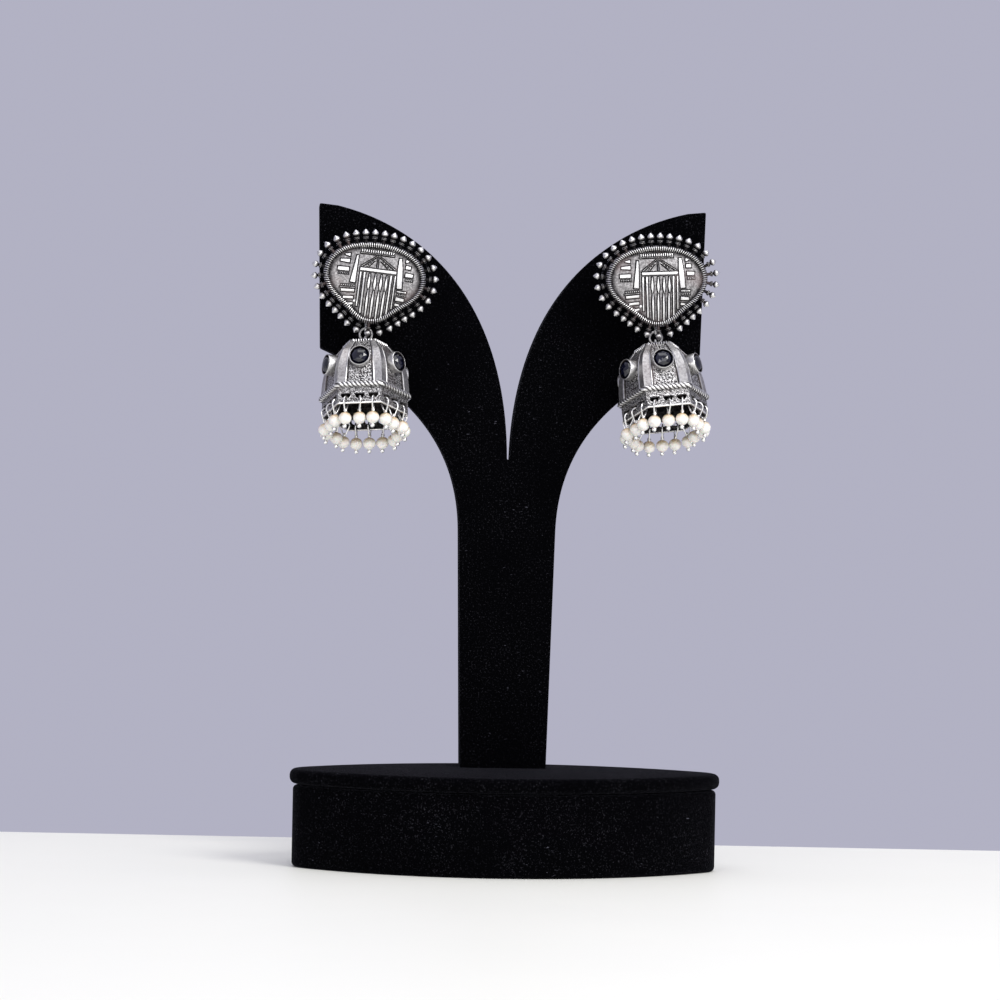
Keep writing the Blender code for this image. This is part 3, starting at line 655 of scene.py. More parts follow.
@dataclass
class Stand:
    """Boat-shaped foot with its top board, and the Y panel that stands in its slot."""

    look: bpy.types.Material
    length: float = 98.6
    depth: float = 46.6
    tip_radius: float = 7.0
    box_height: float = 18.9
    seat_gap: float = 0.3
    board_thickness: float = 3.5
    overhang: float = 0.8
    slot_depth: float = 9.0
    panel_front: float = 8.0
    panel_thickness: float = 8.0
    panel_height: float = 154.45
    half_width: float = 45.55
    shoulder: float = 4.3
    arm_tip_height: float = 33.8
    arm_tip_lean: float = 0.8
    crotch: float = 95.0
    crotch_radius: float = 0.4
    neck: float = 78.0
    neck_half: float = 11.3
    stem_half: float = 9.9
    box_edge: float = 1.0
    board_edge: float = 1.45
    panel_edge: float = 0.7
    fold: float = 60.0
    side_steps: int = 48
    tip_steps: int = 16

    @property
    def top(self) -> float:
        """Height of the board's upper face."""
        return self.box_height + self.seat_gap + self.board_thickness

    def plan(self, out: float) -> list[Vector]:
        """Outline of the foot, a distance out from the box's own.

        Args:
            out: The distance, in millimetres.

        Returns:
            Its points in order, at height 0.
        """
        radius = self.tip_radius + out
        half = self.depth / 2 + out
        tip = self.length / 2 - self.tip_radius
        large = (tip ** 2 + half ** 2 - radius ** 2) / (2 * (half - radius))
        sweep = math.atan2(tip, large - half)
        quarter = math.pi / 2
        points = []
        for sign in (1.0, -1.0):
            for step in range(self.side_steps):
                angle = quarter - sweep + 2 * sweep * step / self.side_steps
                y = half - large + math.sin(angle) * large
                points.append(Vector((math.cos(angle) * large, y, 0)) * sign)
            for step in range(self.tip_steps):
                angle = quarter + sweep + 2 * (quarter - sweep) * step / self.tip_steps
                points.append(Vector((-tip + math.cos(angle) * radius, math.sin(angle) * radius, 0)) * sign)
        return points

    def slab(self, outline: Sequence[Vector], lift: Vector, edge: float) -> Blank:
        """A thick board from its outline, with round edges.

        Args:
            outline: Its corners, in one plane.
            lift: The way and distance that the outline is drawn out.
            edge: Radius of its edges.

        Returns:
            The board.
        """
        blank = Blank()
        face = blank.shape.faces.new([blank.shape.verts.new(point) for point in outline])
        rim = list(face.edges)
        drawn = bmesh.ops.extrude_face_region(blank.shape, geom=[face])["geom"]
        top = [item for item in drawn if isinstance(item, bmesh.types.BMVert)]
        bmesh.ops.translate(blank.shape, vec=lift, verts=top)
        rim += [item for item in drawn if isinstance(item, bmesh.types.BMEdge)]
        rim += [side for side in blank.shape.edges
                if side.calc_face_angle(0.0) > math.radians(self.fold) and side not in rim]
        bmesh.ops.bevel(blank.shape, geom=rim, offset=edge, segments=4, affect="EDGES", profile=0.5,
                        material=-1, clamp_overlap=True)
        return blank.closed_up()

    @staticmethod
    def curve(ends: Sequence[tuple], count: int) -> list[tuple]:
        """Points of a cubic curve through its four controls, both ends included.

        Args:
            ends: The four controls.
            count: Steps along the curve.

        Returns:
            The points.
        """
        points = []
        for step in range(count + 1):
            t = step / count
            shares = ((1 - t) ** 3, 3 * t * (1 - t) ** 2, 3 * t * t * (1 - t), t ** 3)
            points.append(tuple(sum(s * end[axis] for s, end in zip(shares, ends)) for axis in (0, 1)))
        return points

    def panel_outline(self) -> list[Vector]:
        """Front view of the Y panel, in the plane of its front face.

        Returns:
            Its points in order.
        """
        tip_in = (self.half_width - self.shoulder, self.panel_height - 0.1 * self.shoulder)
        tip_low = (self.half_width - self.arm_tip_lean, self.panel_height - self.arm_tip_height)
        across = tip_low[0] - self.neck_half
        down = tip_low[1] - self.neck
        rise = tip_in[1] - self.crotch
        outer = self.curve(((self.neck_half, self.neck),
                            (tip_low[0] - 0.99 * across, tip_low[1] - 0.475 * down),
                            (tip_low[0] - 0.56 * across, tip_low[1] - 0.19 * down), tip_low), 36)
        inner = self.curve((tip_in, (0.43 * tip_in[0], self.crotch + 0.91 * rise),
                            (0.025 * tip_in[0], self.crotch + 0.58 * rise),
                            (self.crotch_radius, self.crotch + self.crotch_radius)), 40)
        right = [(self.stem_half, self.top - self.slot_depth)] + outer
        right += [(self.half_width, self.panel_height)] + inner
        whole = right + [(0.0, self.crotch)] + [(-x, z) for x, z in reversed(right)]
        return [Vector((x, self.panel_front, z)) for x, z in whole]

    def build(self) -> None:
        """Makes the three velvet pieces."""
        box = self.slab(self.plan(0.0), UP * self.box_height, self.box_edge)
        box.finished("velvet_foot", self.look, Body.STAND, Slot.VELVET, ["stand_base"])
        board = self.slab(self.plan(self.overhang), UP * self.board_thickness, self.board_edge)
        board.moved(Matrix.Translation((0.0, 0.0, self.box_height + self.seat_gap)))
        board.finished("velvet_top_board", self.look, Body.STAND, Slot.VELVET, ["stand_top_board"])
        panel = self.slab(self.panel_outline(), BACK * self.panel_thickness, self.panel_edge)
        panel.finished("velvet_panel", self.look, Body.STAND, Slot.VELVET, ["stand_yoke"])


@dataclass(frozen=True)
class Hang:
    """Where an earring hangs and how its stud and its bell are turned, in degrees."""

    side: str
    x: float
    z: float
    stud_roll: float
    spin: float
    roll: float
    lean: float
    link_body: Body
    bell_body: Body
    plate_back: float = -0.69
    eye_offset: float = -0.45
    eye_drop: float = 10.65
    eye_back: float = 0.85
    link_ring: float = 1.42
    eye_ring: float = 0.93
    eye_wire: float = 0.28

    def stud(self) -> Matrix:
        """Frame of the stud: its plate faces -Y and its back is at 0."""
        return Matrix.Translation((self.x, self.plate_back, self.z)) @ turned_by(self.stud_roll, "Y")

    def link_point(self) -> Vector:
        """Middle of the stud's eye."""
        return self.stud() @ Vector((self.eye_offset, self.eye_back, -self.eye_drop))

    def bell_turn(self) -> Matrix:
        """How the bell is turned."""
        return turned_by(self.roll, "Y") @ turned_by(-self.lean, "X") @ turned_by(self.spin, "Z")

    def bell(self) -> Matrix:
        """Frame of the bell: the middle of its eye, with its axis down."""
        return Matrix.Translation(self.link_point() - UP * 2 * self.link_ring) @ self.bell_turn()

    def eye(self) -> Blank:
        """Small ring, side on, that the link runs through."""
        return Blank().wire(upright_ring(self.eye_ring, 32, BACK), self.eye_wire, 12, True)


class Pad(NamedTuple):
    """A raised stroke of the plate's relief: its two ends, its half widths and its rise."""

    start: tuple
    end: tuple
    widths: tuple
    rise: float = 0.38


def tooth_row(start: tuple, end: tuple, count: int, height: float) -> list[Pad]:
    """A row of small upright teeth between two points.

    Args:
        start: Middle of the row's first end.
        end: Middle of its other end.
        count: How many teeth.
        height: Their height.

    Returns:
        The teeth.
    """
    pads = []
    for step in range(count):
        share = (step + 0.5) / count
        x, z = (mixed(start[axis], end[axis], share) for axis in (0, 1))
        half = 0.30 * math.dist(start, end) / count
        pads.append(Pad((x, z - height / 2), (x, z + height / 2), (half, half), 0.30))
    return pads


RELIEF: tuple[Pad, ...] = (
    Pad((-3.95, 7.78), (3.95, 7.78), (0.10, 0.10)),
    Pad((-3.95, 6.55), (3.95, 6.60), (0.12, 0.12)),
    Pad((0.25, 6.25), (-3.35, 3.45), (0.10, 0.13)),
    Pad((0.35, 6.25), (4.55, 3.45), (0.10, 0.13)),
    Pad((-0.55, 5.05), (-1.95, 3.45), (0.10, 0.12)),
    Pad((1.15, 5.05), (3.05, 3.45), (0.10, 0.12)),
    Pad((0.28, 5.75), (0.32, 3.45), (0.10, 0.13)),
    Pad((-3.60, 2.80), (4.85, 2.80), (0.36, 0.36), 0.46),
    Pad((-3.35, 2.15), (-3.40, -5.9), (0.22, 0.20)),
    Pad((-2.45, 2.15), (-2.40, -7.4), (0.24, 0.22), 0.46),
    Pad((-1.20, 2.05), (-1.20, -1.75), (0.10, 0.22, 0.34, 0.10)),
    Pad((0.20, 2.05), (0.20, -1.75), (0.10, 0.22, 0.36, 0.10)),
    Pad((1.55, 2.05), (1.55, -1.75), (0.10, 0.22, 0.36, 0.10)),
    Pad((2.80, 2.05), (2.80, -1.75), (0.10, 0.22, 0.34, 0.10)),
    Pad((-1.15, -1.75), (-1.15, -8.1), (0.12, 0.27, 0.24, 0.16), 0.44),
    Pad((0.12, -1.85), (0.05, -8.3), (0.12, 0.27, 0.24, 0.16), 0.44),
    Pad((1.40, -1.85), (1.30, -8.3), (0.12, 0.27, 0.24, 0.16), 0.44),
    Pad((2.65, -1.75), (2.50, -8.0), (0.12, 0.27, 0.24, 0.16), 0.44),
    Pad((3.78, 2.15), (3.65, -7.0), (0.24, 0.20), 0.46),
    Pad((4.75, 2.15), (4.65, -5.6), (0.20, 0.16)),
    Pad((-4.50, 5.85), (-4.95, -0.55), (0.22, 0.42, 0.62), 0.46),
    Pad((5.45, 6.30), (5.95, -0.75), (0.30, 0.55, 0.62, 0.60), 0.46),
    Pad((-7.45, 5.75), (-6.15, 5.75), (0.12, 0.42)),
    Pad((-8.35, 4.30), (-6.15, 4.30), (0.28, 0.46)),
    Pad((-8.75, 2.35), (-6.15, 2.35), (0.44, 0.46), 0.46),
    Pad((-7.75, -1.95), (-4.25, -1.75), (0.12, 0.12)),
    Pad((-7.45, -2.60), (-4.30, -2.40), (0.32, 0.34), 0.46),
    Pad((-6.75, -4.20), (-4.35, -4.00), (0.30, 0.32)),
    Pad((-5.60, -5.60), (-4.30, -5.40), (0.24, 0.28)),
    Pad((6.75, 5.85), (7.45, 5.85), (0.42, 0.16)),
    Pad((6.85, 4.45), (8.05, 4.35), (0.44, 0.36)),
    Pad((6.95, 2.65), (8.75, 2.55), (0.46, 0.42), 0.46),
    Pad((5.40, -1.40), (7.70, -1.45), (0.16, 0.14)),
    Pad((5.35, -3.10), (7.35, -3.25), (0.44, 0.36), 0.46),
    Pad((5.30, -4.40), (6.45, -4.50), (0.32, 0.24)),
)
TEETH: tuple[tuple, ...] = (
    ((-3.85, 7.16), (3.95, 7.20), 15, 0.72),
    ((-8.55, 1.35), (-6.15, 1.35), 6, 0.36),
    ((-7.60, -1.42), (-4.30, -1.22), 7, 0.34),
    ((7.05, 1.55), (8.85, 1.50), 4, 0.40),
    ((5.45, -2.10), (7.70, -2.15), 5, 0.34),
)
DOTS: tuple[tuple, ...] = (
    (-0.42, 5.15, 0.15), (-0.98, 4.65, 0.15), (-1.55, 4.15, 0.15), (-2.12, 3.70, 0.14),
    (1.16, 5.15, 0.15), (1.80, 4.70, 0.15), (2.45, 4.22, 0.15), (3.10, 3.75, 0.14),
    (-4.05, -4.75, 0.40),
)


@dataclass
class Stud:
    """Relief plate with its fluted rim, its fringe of pins, its eye and its post."""

    look: bpy.types.Material
    hang: Hang
    radius: float = 10.25
    lobes: tuple = (0.068, -0.107, -0.080, 0.037)
    thickness: float = 0.9
    rim_width: float = 1.4
    rim_height: float = 0.75
    dome: float = 0.8
    flutes: int = 124
    flute_depth: float = 0.24
    pins: int = 33
    pin_setback: float = 0.75
    post_radius: float = 0.45
    post_length: float = 11.29
    post_taper: float = 0.35
    columns: int = 144
    outline_steps: int = 720
    lengths: list = field(default_factory=list)

    def outline(self, angle: float) -> float:
        """Radius of the plate at an angle from its top towards +X."""
        waves = sum(lobe * math.cos((order + 1) * angle) for order, lobe in enumerate(self.lobes))
        return self.radius * (1.0 + waves)

    def edge(self, angle: float) -> Vector:
        """Point of the outline at an angle from its top."""
        return Vector((math.sin(angle), 0.0, math.cos(angle))) * self.outline(angle)

    def angle_at(self, share: float) -> float:
        """Angle of the outline's point at a share of its whole length.

        Args:
            share: Share of the outline, from its top.

        Returns:
            The angle, in radians.
        """
        if not self.lengths:
            steps = self.outline_steps
            fine = [self.edge(TURN * step / steps) for step in range(steps + 1)]
            self.lengths = [0.0]
            for first, second in zip(fine, fine[1:]):
                self.lengths.append(self.lengths[-1] + (second - first).length)
        wanted = (share % 1.0) * self.lengths[-1]
        low, high = 0, self.outline_steps
        while high - low > 1:
            middle = (low + high) // 2
            low, high = (middle, high) if self.lengths[middle] <= wanted else (low, middle)
        rest = (wanted - self.lengths[low]) / (self.lengths[high] - self.lengths[low])
        return TURN * (low + rest) / self.outline_steps

    def face_height(self, x: float, z: float) -> float:
        """Height of the plate's face over its back.

        Args:
            x: Place across the plate.
            z: Place up the plate.

        Returns:
            The height.
        """
        angle = math.atan2(x, z)
        share = min(math.hypot(x, z) / (self.outline(angle) - self.rim_width), 1.0)
        return self.thickness + self.dome * (1.0 - share * share)

    def face(self) -> Blank:
        """The domed field between the rim's inner edges, its back, and the plate's wall.

        Returns:
            The plate without its rim.
        """
        def front(across: float, up: float) -> Spot:
            """Spot of the field.

            Args:
                across: Share across the sheet.
                up: Share up the sheet.

            Returns:
                The spot.
            """
            angle = TURN * across
            reach = (self.outline(angle) - self.rim_width * 0.9) * up
            x, z = math.sin(angle) * reach, math.cos(angle) * reach
            shine = mixed(0.50, 0.02, eased(up * 9.0 - 8.0))
            return Spot(Vector((x, -self.face_height(x, z), z)), shine, 0.15)

        def back(across: float, up: float) -> Spot:
            """Spot of the back."""
            point = self.edge(TURN * across) * up * 0.995 + BACK * 0.06 * eased(up * 8.0)
            return Spot(point, 0.8, 0.3)

        return Blank().sheet(self.columns, 22, front).sheet(self.columns, 10, back)

    def rim(self) -> Blank:
        """The rim, closed behind, with flutes across its front.

        Returns:
            The rim.
        """
        columns = self.flutes * 6
        section = ((0.0, 0.0), (0.02, 0.62), (0.16, 1.12), (0.42, 1.48), (0.72, 1.65), (1.02, 1.52),
                   (1.26, 1.18), (1.40, 0.80), (1.30, 0.30), (0.0, 0.0))
        cut = (0.0, 0.0, 0.7, 1.0, 1.0, 1.0, 0.7, 0.2, 0.0, 0.0)
        angles = [self.angle_at(index / columns) for index in range(columns)]

        def place(across: float, up: float) -> Spot:
            """Spot of the rim.

            Args:
                across: Share across the sheet.
                up: Share up the sheet.

            Returns:
                The spot.
            """
            index = round(across * columns) % columns
            row = round(up * (len(section) - 1))
            inset, height = section[row]
            valley = eased(eased(0.5 - 0.5 * math.cos(TURN * index / 6.0)))
            point = self.edge(angles[index])
            point -= point.normalized() * (inset + 0.07 * valley * cut[row] * (1.0 - inset / 0.7))
            point.y = -(height - self.flute_depth * valley * cut[row])
            return Spot(point, 1.0 - valley if cut[row] > 0.5 else 0.12 * (1.0 - valley))

        return Blank().sheet(columns, len(section) - 1, place)

    def pad(self, pad: Pad) -> Blank:
        """One stroke of the relief on the plate's dome, with a black border round its foot.

        Args:
            pad: Its ends, widths and rise.

        Returns:
            The stroke.
        """
        start, end = Vector(pad.start), Vector(pad.end)
        run = (end - start).length
        heading = (end - start) / run
        cross = Vector((-heading.y, heading.x))
        flank = ((-0.26, 0), (-0.15, 1), (0.0, 2), (0.07, 3))
        lifts = (0.025, 0.02, 0.01, pad.rise * 0.86, pad.rise)
        polishes = (0.36, 0.0, 0.0, 0.76, 0.86)
        steps = max(1, round(run / 0.9))

        def stations(length: float, inner: int) -> list[tuple[float, int]]:
            """Places along a stretch, each with its step up the stroke's flank."""
            middle = [(length * (step + 1) / (inner + 1), 4) for step in range(inner)]
            return [*flank, *middle, *[(length - at, level) for at, level in reversed(flank)]]

        def place(across: float, up: float) -> Spot:
            """Spot of the stroke or of its border.

            Args:
                across: Share across the sheet.
                up: Share up the sheet.

            Returns:
                The spot.
            """
            distance, row_level = stations(run, steps)[round(up * (steps + 7))]
            half = along(pad.widths, distance / run)
            aside, column_level = stations(2 * half, 1)[round(across * 8)]
            level = min(row_level, column_level)
            flat = start + heading * distance + cross * (aside - half)
            depth = self.face_height(flat.x, flat.y) + lifts[level]
            return Spot(Vector((flat.x, -depth, flat.y)), polishes[level])

        blank = Blank().sheet(8, steps + 7, place, closed=False)
        blank.shape.normal_update()
        if sum(face.normal.y for face in blank.shape.faces) > 0:
            bmesh.ops.reverse_faces(blank.shape, faces=blank.shape.faces)
        return blank

    def pin(self) -> Blank:
        """One pin along +Z: two thin collars, a bud and a pointed tip.

        Returns:
            The pin.
        """
        profile = (
            (0.0, 3.00, 0.9), (0.14, 2.93, 0.9), (0.34, 2.72, 0.85), (0.60, 2.46, 0.8), (0.75, 2.20, 0.8),
            (0.78, 1.98, 0.7), (0.73, 1.76, 0.45), (0.56, 1.56, 0.15), (0.33, 1.42, 0.0), (0.30, 1.24, 0.0),
            (0.58, 1.18, 0.4), (0.68, 1.09, 0.9), (0.58, 1.00, 0.3), (0.42, 0.95, 0.0), (0.58, 0.89, 0.3),
            (0.68, 0.80, 0.9), (0.58, 0.71, 0.3), (0.36, 0.64, 0.0), (0.34, -0.70, 0.0), (0.0, -0.70, 0.0),
        )
        return Blank().lathe(profile, 12)

    def pin_places(self) -> list[Matrix]:
        """Where each pin stands on the outline.

        Returns:
            A frame for each pin, its +Z outwards.
        """
        places = []
        for index in range(self.pins):
            share = (index + 0.5) / self.pins
            at = self.edge(self.angle_at(share))
            run = self.edge(self.angle_at(share + 0.0008)) - self.edge(self.angle_at(share - 0.0008))
            outward = Vector((-run.z, 0.0, run.x)).normalized()
            if outward.dot(at) < 0:
                outward = -outward
            places.append(Matrix.Translation(at + Vector((0.0, -self.pin_setback, 0.0))) @ aimed(outward))
        return places

    def fittings(self) -> Blank:
        """Eye, its lug, and the post into the panel.

        Returns:
            The three in one blank.
        """
        hang, radius, length = self.hang, self.post_radius, self.post_length
        eye = hang.eye().moved(Matrix.Translation((hang.eye_offset, hang.eye_back, -hang.eye_drop)))
        low = Vector((hang.eye_offset, hang.eye_back, -hang.eye_drop + hang.eye_ring))
        high = Vector((hang.eye_offset, -self.thickness / 2, -hang.eye_drop + 3 * hang.eye_ring))
        steps = [low.lerp(high, k / 8) for k in range(9)]
        eye.wire(steps, lambda u, v: 0.42 - 0.10 * math.sin(math.pi * u), 12, False, 0.7)
        post = Blank().lathe(((0.0, 0.0, 0.8), (radius, 0.0, 0.8), (radius, length - self.post_taper, 0.8),
                              (0.30, length, 0.8), (0.0, length, 0.8)), 16)
        foot = Blank().lathe(((0.0, 0.0, 0.5), (1.9, 0.0, 0.5), (1.9, 0.22, 0.5), (1.75, 0.34, 0.6),
                              (0.0, 0.40, 0.6)), 28)
        return eye.struck(post, [aimed(BACK)]).struck(foot, [aimed(BACK)])

    def build(self) -> None:
        """Makes the stud's pieces."""
        side = self.hang.side
        spot = self.hang.stud()
        body, slot = Body.STAND, Slot.SILVER
        plate = self.face()
        relief = list(RELIEF)
        for row in TEETH:
            relief += tooth_row(*row)
        for pad in relief:
            plate.struck(self.pad(pad))
        for x, z, size in DOTS:
            place = Matrix.Translation((x, -self.face_height(x, z) - size * 0.3, z))
            plate.struck(Blank().ball(size, 12, 8), [place])
        plate.moved(spot).finished(f"{side}_stud_plate", self.look, body, slot, [f"{side}_stud"])
        self.rim().moved(spot).finished(f"{side}_stud_rim", self.look, body, slot)
        fringe = Blank().struck(self.pin(), self.pin_places())
        fringe.moved(spot).finished(f"{side}_stud_pins", self.look, body, slot)
        self.fittings().moved(spot).finished(f"{side}_stud_eye_and_post", self.look, body, slot)


@dataclass
class Link:
    """Plain round ring between the stud's eye and the bell's."""

    look: bpy.types.Material
    hang: Hang
    wire: float = 0.29

    def build(self) -> None:
        """Makes the ring, which stands in the picture's plane."""
        reach = self.hang.link_ring
        middle = self.hang.link_point() - UP * reach
        ring = [middle + point for point in upright_ring(reach, 40, Vector((1.0, 0.0, 0.0)))]
        blank = Blank().wire(ring, self.wire, 14, True, 0.55)
        name = f"{self.hang.side}_link"
        blank.finished(f"{name}_ring", self.look, self.hang.link_body, Slot.SILVER, [name])


@dataclass
class Bell:
    """Ribbed six-sided bell: cap, dome, twisted rope, pierced gallery, collets and eye."""

    look: bpy.types.Material
    hang: Hang
    wall: float = 0.75
    cap_drop: float = 1.5
    cap_radius: float = 4.9
    dome_radius: float = 10.0
    dome_drop: float = 13.85
    bottom: float = 18.85
    rib_rise: float = 0.35
    rib_width: float = 1.9
    rib_edge: float = 0.14
    rope_reach: float = 10.35
    rope_drop: float = 14.35
    rope_radius: float = 0.65
    strands: int = 10
    window_pitch: float = 3.15
    window_width: float = 2.3
    window_top: float = 16.35
    window_bottom: float = 17.75
    collet_drop: float = 7.75
    collet_inner: float = 6.6
    collet_reach: float = 9.9
    collet_radius: float = 2.45
    bore_radius: float = 2.15
    bore_depth: float = 1.4
    collet_rise: float = 1.0
    panel_polish: float = 0.84
    rib_polish: float = 0.56
    line_polish: float = 0.92
    cap_beads: int = 48
    shell_steps: int = 26
    lining_steps: int = 12
    profile: tuple = (
        (0.0, 0.0, 0.45), (0.36, 0.17, 0.62), (0.62, 0.30, 0.78), (0.88, 0.58, 1.0), (1.0, 1.0, 1.0))

    def section(self, share: float) -> tuple[float, float, float]:
        """Corner radius, drop and rib share of the dome at a share of its drop.

        Args:
            share: Share of the dome's drop, from its top.

        Returns:
            The three values.
        """
        rows = self.profile
        index = next((k for k in range(len(rows) - 2) if share < rows[k + 1][1]), len(rows) - 2)
        low, high = rows[index], rows[index + 1]
        part = (share - low[1]) / (high[1] - low[1])
        before = rows[max(index - 1, 0)]
        after = rows[min(index + 2, len(rows) - 1)]
        span = high[1] - low[1]
        slope_in = (high[0] - before[0]) / max(high[1] - before[1], 1e-6) * span
        slope_out = (after[0] - low[0]) / max(after[1] - low[1], 1e-6) * span
        square, cube = part * part, part ** 3
        reach = ((2 * cube - 3 * square + 1) * low[0] + (cube - 2 * square + part) * slope_in
                 + (3 * square - 2 * cube) * high[0] + (cube - square) * slope_out)
        radius = mixed(self.cap_radius, self.dome_radius, min(reach, 1.0))
        return radius, mixed(self.cap_drop, self.dome_drop, share), mixed(low[2], high[2], part)

    @staticmethod
    def corner(index: int, radius: float) -> Vector:
        """Corner of the bell's hexagon, seen from its axis."""
        angle = math.pi / 3 * index
        return Vector((math.cos(angle), math.sin(angle), 0.0)) * radius

    def hex_point(self, across: float, radius: float) -> Vector:
        """Point of the bell's hexagon at a share round it.

        Args:
            across: The share.
            radius: Reach of its corners.

        Returns:
            The point, at height 0.
        """
        steps = self.lining_steps
        column = round(across * steps * 6)
        side, part = (column // steps) % 6, (column % steps) / steps
        return self.corner(side, radius).lerp(self.corner(side + 1, radius), part)

    def hex_path(self, radius: float, drop: float, per_side: int, bend: float) -> list[Vector]:
        """Points of a hexagon with rounded corners.

        Args:
            radius: Reach of its corners before they are rounded.
            drop: Its distance below the eye.
            per_side: Points along a side.
            bend: Length taken off a side at each end for the round corner.

        Returns:
            The points, in order.
        """
        points = []
        for index in range(6):
            here, after = self.corner(index, radius), self.corner(index + 1, radius)
            following = self.corner(index + 2, radius)
            heading, turning = (after - here).normalized(), (following - after).normalized()
            for step in range(per_side):
                points.append((here + heading * bend).lerp(after - heading * bend, step / per_side))
            for step in range(4):
                t = step / 4
                start, stop = after - heading * bend, after + turning * bend
                points.append(start.lerp(after, t).lerp(after.lerp(stop, t), t))
        return [point - UP * drop for point in points]

    def shell(self) -> Blank:
        """The dome's outer face: panels of cast grain between smooth raised ribs.

        Returns:
            The shell.
        """
        per_side = self.shell_steps

        def outer(across: float, up: float) -> Spot:
            """Spot of the dome's outside.

            Args:
                across: Share across the sheet.
                up: Share up the sheet.

            Returns:
                The spot.
            """
            column = round(across * per_side * 6)
            side, station = (column // per_side) % 6, column % per_side
            radius, drop, rib = self.section(1.0 - up)
            width = self.rib_width * rib
            half = radius / 2
            flat = width + self.rib_edge
            ribs = {0: (0.0, 0.95), 1: (width * 0.4, 0.90), 2: (width * 0.80, 0.85), 3: (width * 0.90, 1.2),
                    4: (width, 0.95), 5: (flat, 0.0)}
            mirror = per_side - station
            if station in ribs:
                gap, lift = ribs[station]
            elif mirror in ribs:
                gap, lift = ribs[mirror]
                gap = radius - gap
            else:
                gap = mixed(flat, radius - flat, (station - 5) / (per_side - 10))
                lift = 0.0
            first, second = self.corner(side, 1.0), self.corner(side + 1, 1.0)
            heading = second - first
            middle = (first + second) / 2
            point = middle * (radius + lift * self.rib_rise)
            if station == 0:
                point = first * (radius + self.rib_rise)
            else:
                point += heading * (gap - half)
            foot = 5 in (station, mirror)
            if foot:
                return Spot(point - UP * drop, 0.0)
            if lift == 0.0:
                return Spot(point - UP * drop, self.panel_polish, 1.0)
            return Spot(point - UP * drop, self.line_polish if lift > 1.0 else self.rib_polish)

        return Blank().sheet(per_side * 6, 30, outer)

    def lining(self) -> Blank:
        """The dome's dark inside, closed above.

        Returns:
            The lining, which faces inwards.
        """
        inset = self.wall / math.cos(math.pi / 6)

        def inner(across: float, up: float) -> Spot:
            """Spot of the lining.

            Args:
                across: Share across the sheet.
                up: Share up the sheet.

            Returns:
                The spot.
            """
            radius, drop, _ = self.section(1.0 - up)
            depth = drop + (self.wall if up > 0.999 else self.wall / 2)
            return Spot(self.hex_point(across, radius - inset) - UP * depth, 0.12, 0.3)

        def lid(across: float, up: float) -> Spot:
            """Spot of the lining's top."""
            point = self.hex_point(across, (self.cap_radius - inset) * up)
            return Spot(point - UP * (self.cap_drop + self.wall), 0.1, 0.3)

        columns = self.lining_steps * 6
        blank = Blank().sheet(columns, 20, inner).sheet(columns, 3, lid)
        blank.closed_up(STITCH)
        bmesh.ops.reverse_faces(blank.shape, faces=blank.shape.faces)
        return blank

    def cap(self) -> Blank:
        """Flat top of the bell with a soft crown, its stem and its milled edge.

        Returns:
            The cap.
        """
        def lid(across: float, up: float) -> Spot:
            """Spot of the top.

            Args:
                across: Share across the sheet.
                up: Share up the sheet.

            Returns:
                The spot.
            """
            point = self.hex_point(across, self.cap_radius * up)
            crown = 0.35 * (1.0 - up * up)
            return Spot(point - UP * (self.cap_drop - crown), mixed(0.9, 0.35, up), 0.6)

        def notch(along_edge: float) -> float:
            """How deep the milling is at a share along the edge."""
            return 0.5 - 0.5 * math.cos(TURN * self.cap_beads * along_edge)

        blank = Blank().sheet(self.lining_steps * 6, 8, lid)
        path = self.hex_path(self.cap_radius + 0.08, self.cap_drop + 0.21, 44, 0.35)
        blank.wire(path, lambda u, v: 0.54 - 0.22 * notch(u), 12, True,
                   lambda u, v: eased(1.3 - 1.6 * notch(u)))
        stem = Blank().lathe(((0.0, -0.75, 0.9), (0.45, -0.78, 0.9), (0.40, -1.15, 0.8), (0.62, -1.45, 0.7),
                              (0.9, -1.65, 0.5), (0.0, -1.8, 0.5)), 20)
        return blank.struck(stem).struck(self.hang.eye())

    def rope(self) -> Blank:
        """Twisted rope of three strands round the bell's widest part.

        Returns:
            The rope.
        """
        path = self.hex_path(self.rope_reach, self.rope_drop, 66, 0.55)
        turns = self.strands * 6 / 3

        def bulge(u: float, v: float) -> float:
            """How far a spot is up the back of its strand, from 0 in the groove."""
            return abs(math.cos(1.5 * (v - TURN * turns * u)))

        return Blank().wire(path, lambda u, v: self.rope_radius * (0.72 + 0.34 * bulge(u, v) ** 0.8), 15,
                            True, lambda u, v: 0.05 + bulge(u, v) ** 1.4)

    def gallery(self) -> Blank:
        """Pierced band below the rope, with windows flat at the top and round at the bottom.

        Returns:
            The band.
        """
        per_window = 16
        columns = per_window * 3
        half = self.window_width / 2
        span = self.window_pitch
        corner = self.dome_radius / 2 - span
        roundness = 2.6

        def across_at(column: int) -> tuple[float, float]:
            """Offset along a side and the window's share of depth there, for a column.

            Args:
                column: The column, from a side's first corner.

            Returns:
                The offset, and the share from 0 to 1.
            """
            window, step = divmod(column, per_window)
            if column == columns:
                window, step = 2, per_window
            centre = (window - 1) * span
            start = corner if window == 0 else span / 2
            stop = corner if window == 2 else span / 2
            if step <= 2:
                local = mixed(-start, -half, step / 2)
            elif step >= per_window - 2:
                local = mixed(half, stop, (step - per_window + 2) / 2)
            else:
                local = -half * math.cos(math.pi * (step - 2) / (per_window - 4))
            inside = abs(local) < half - 1e-6
            depth = max(0.0, 1.0 - abs(local / half) ** roundness) ** (1 / roundness) if inside else 0.0
            return centre + local, depth

        rows_above, rows_below = 5, 4

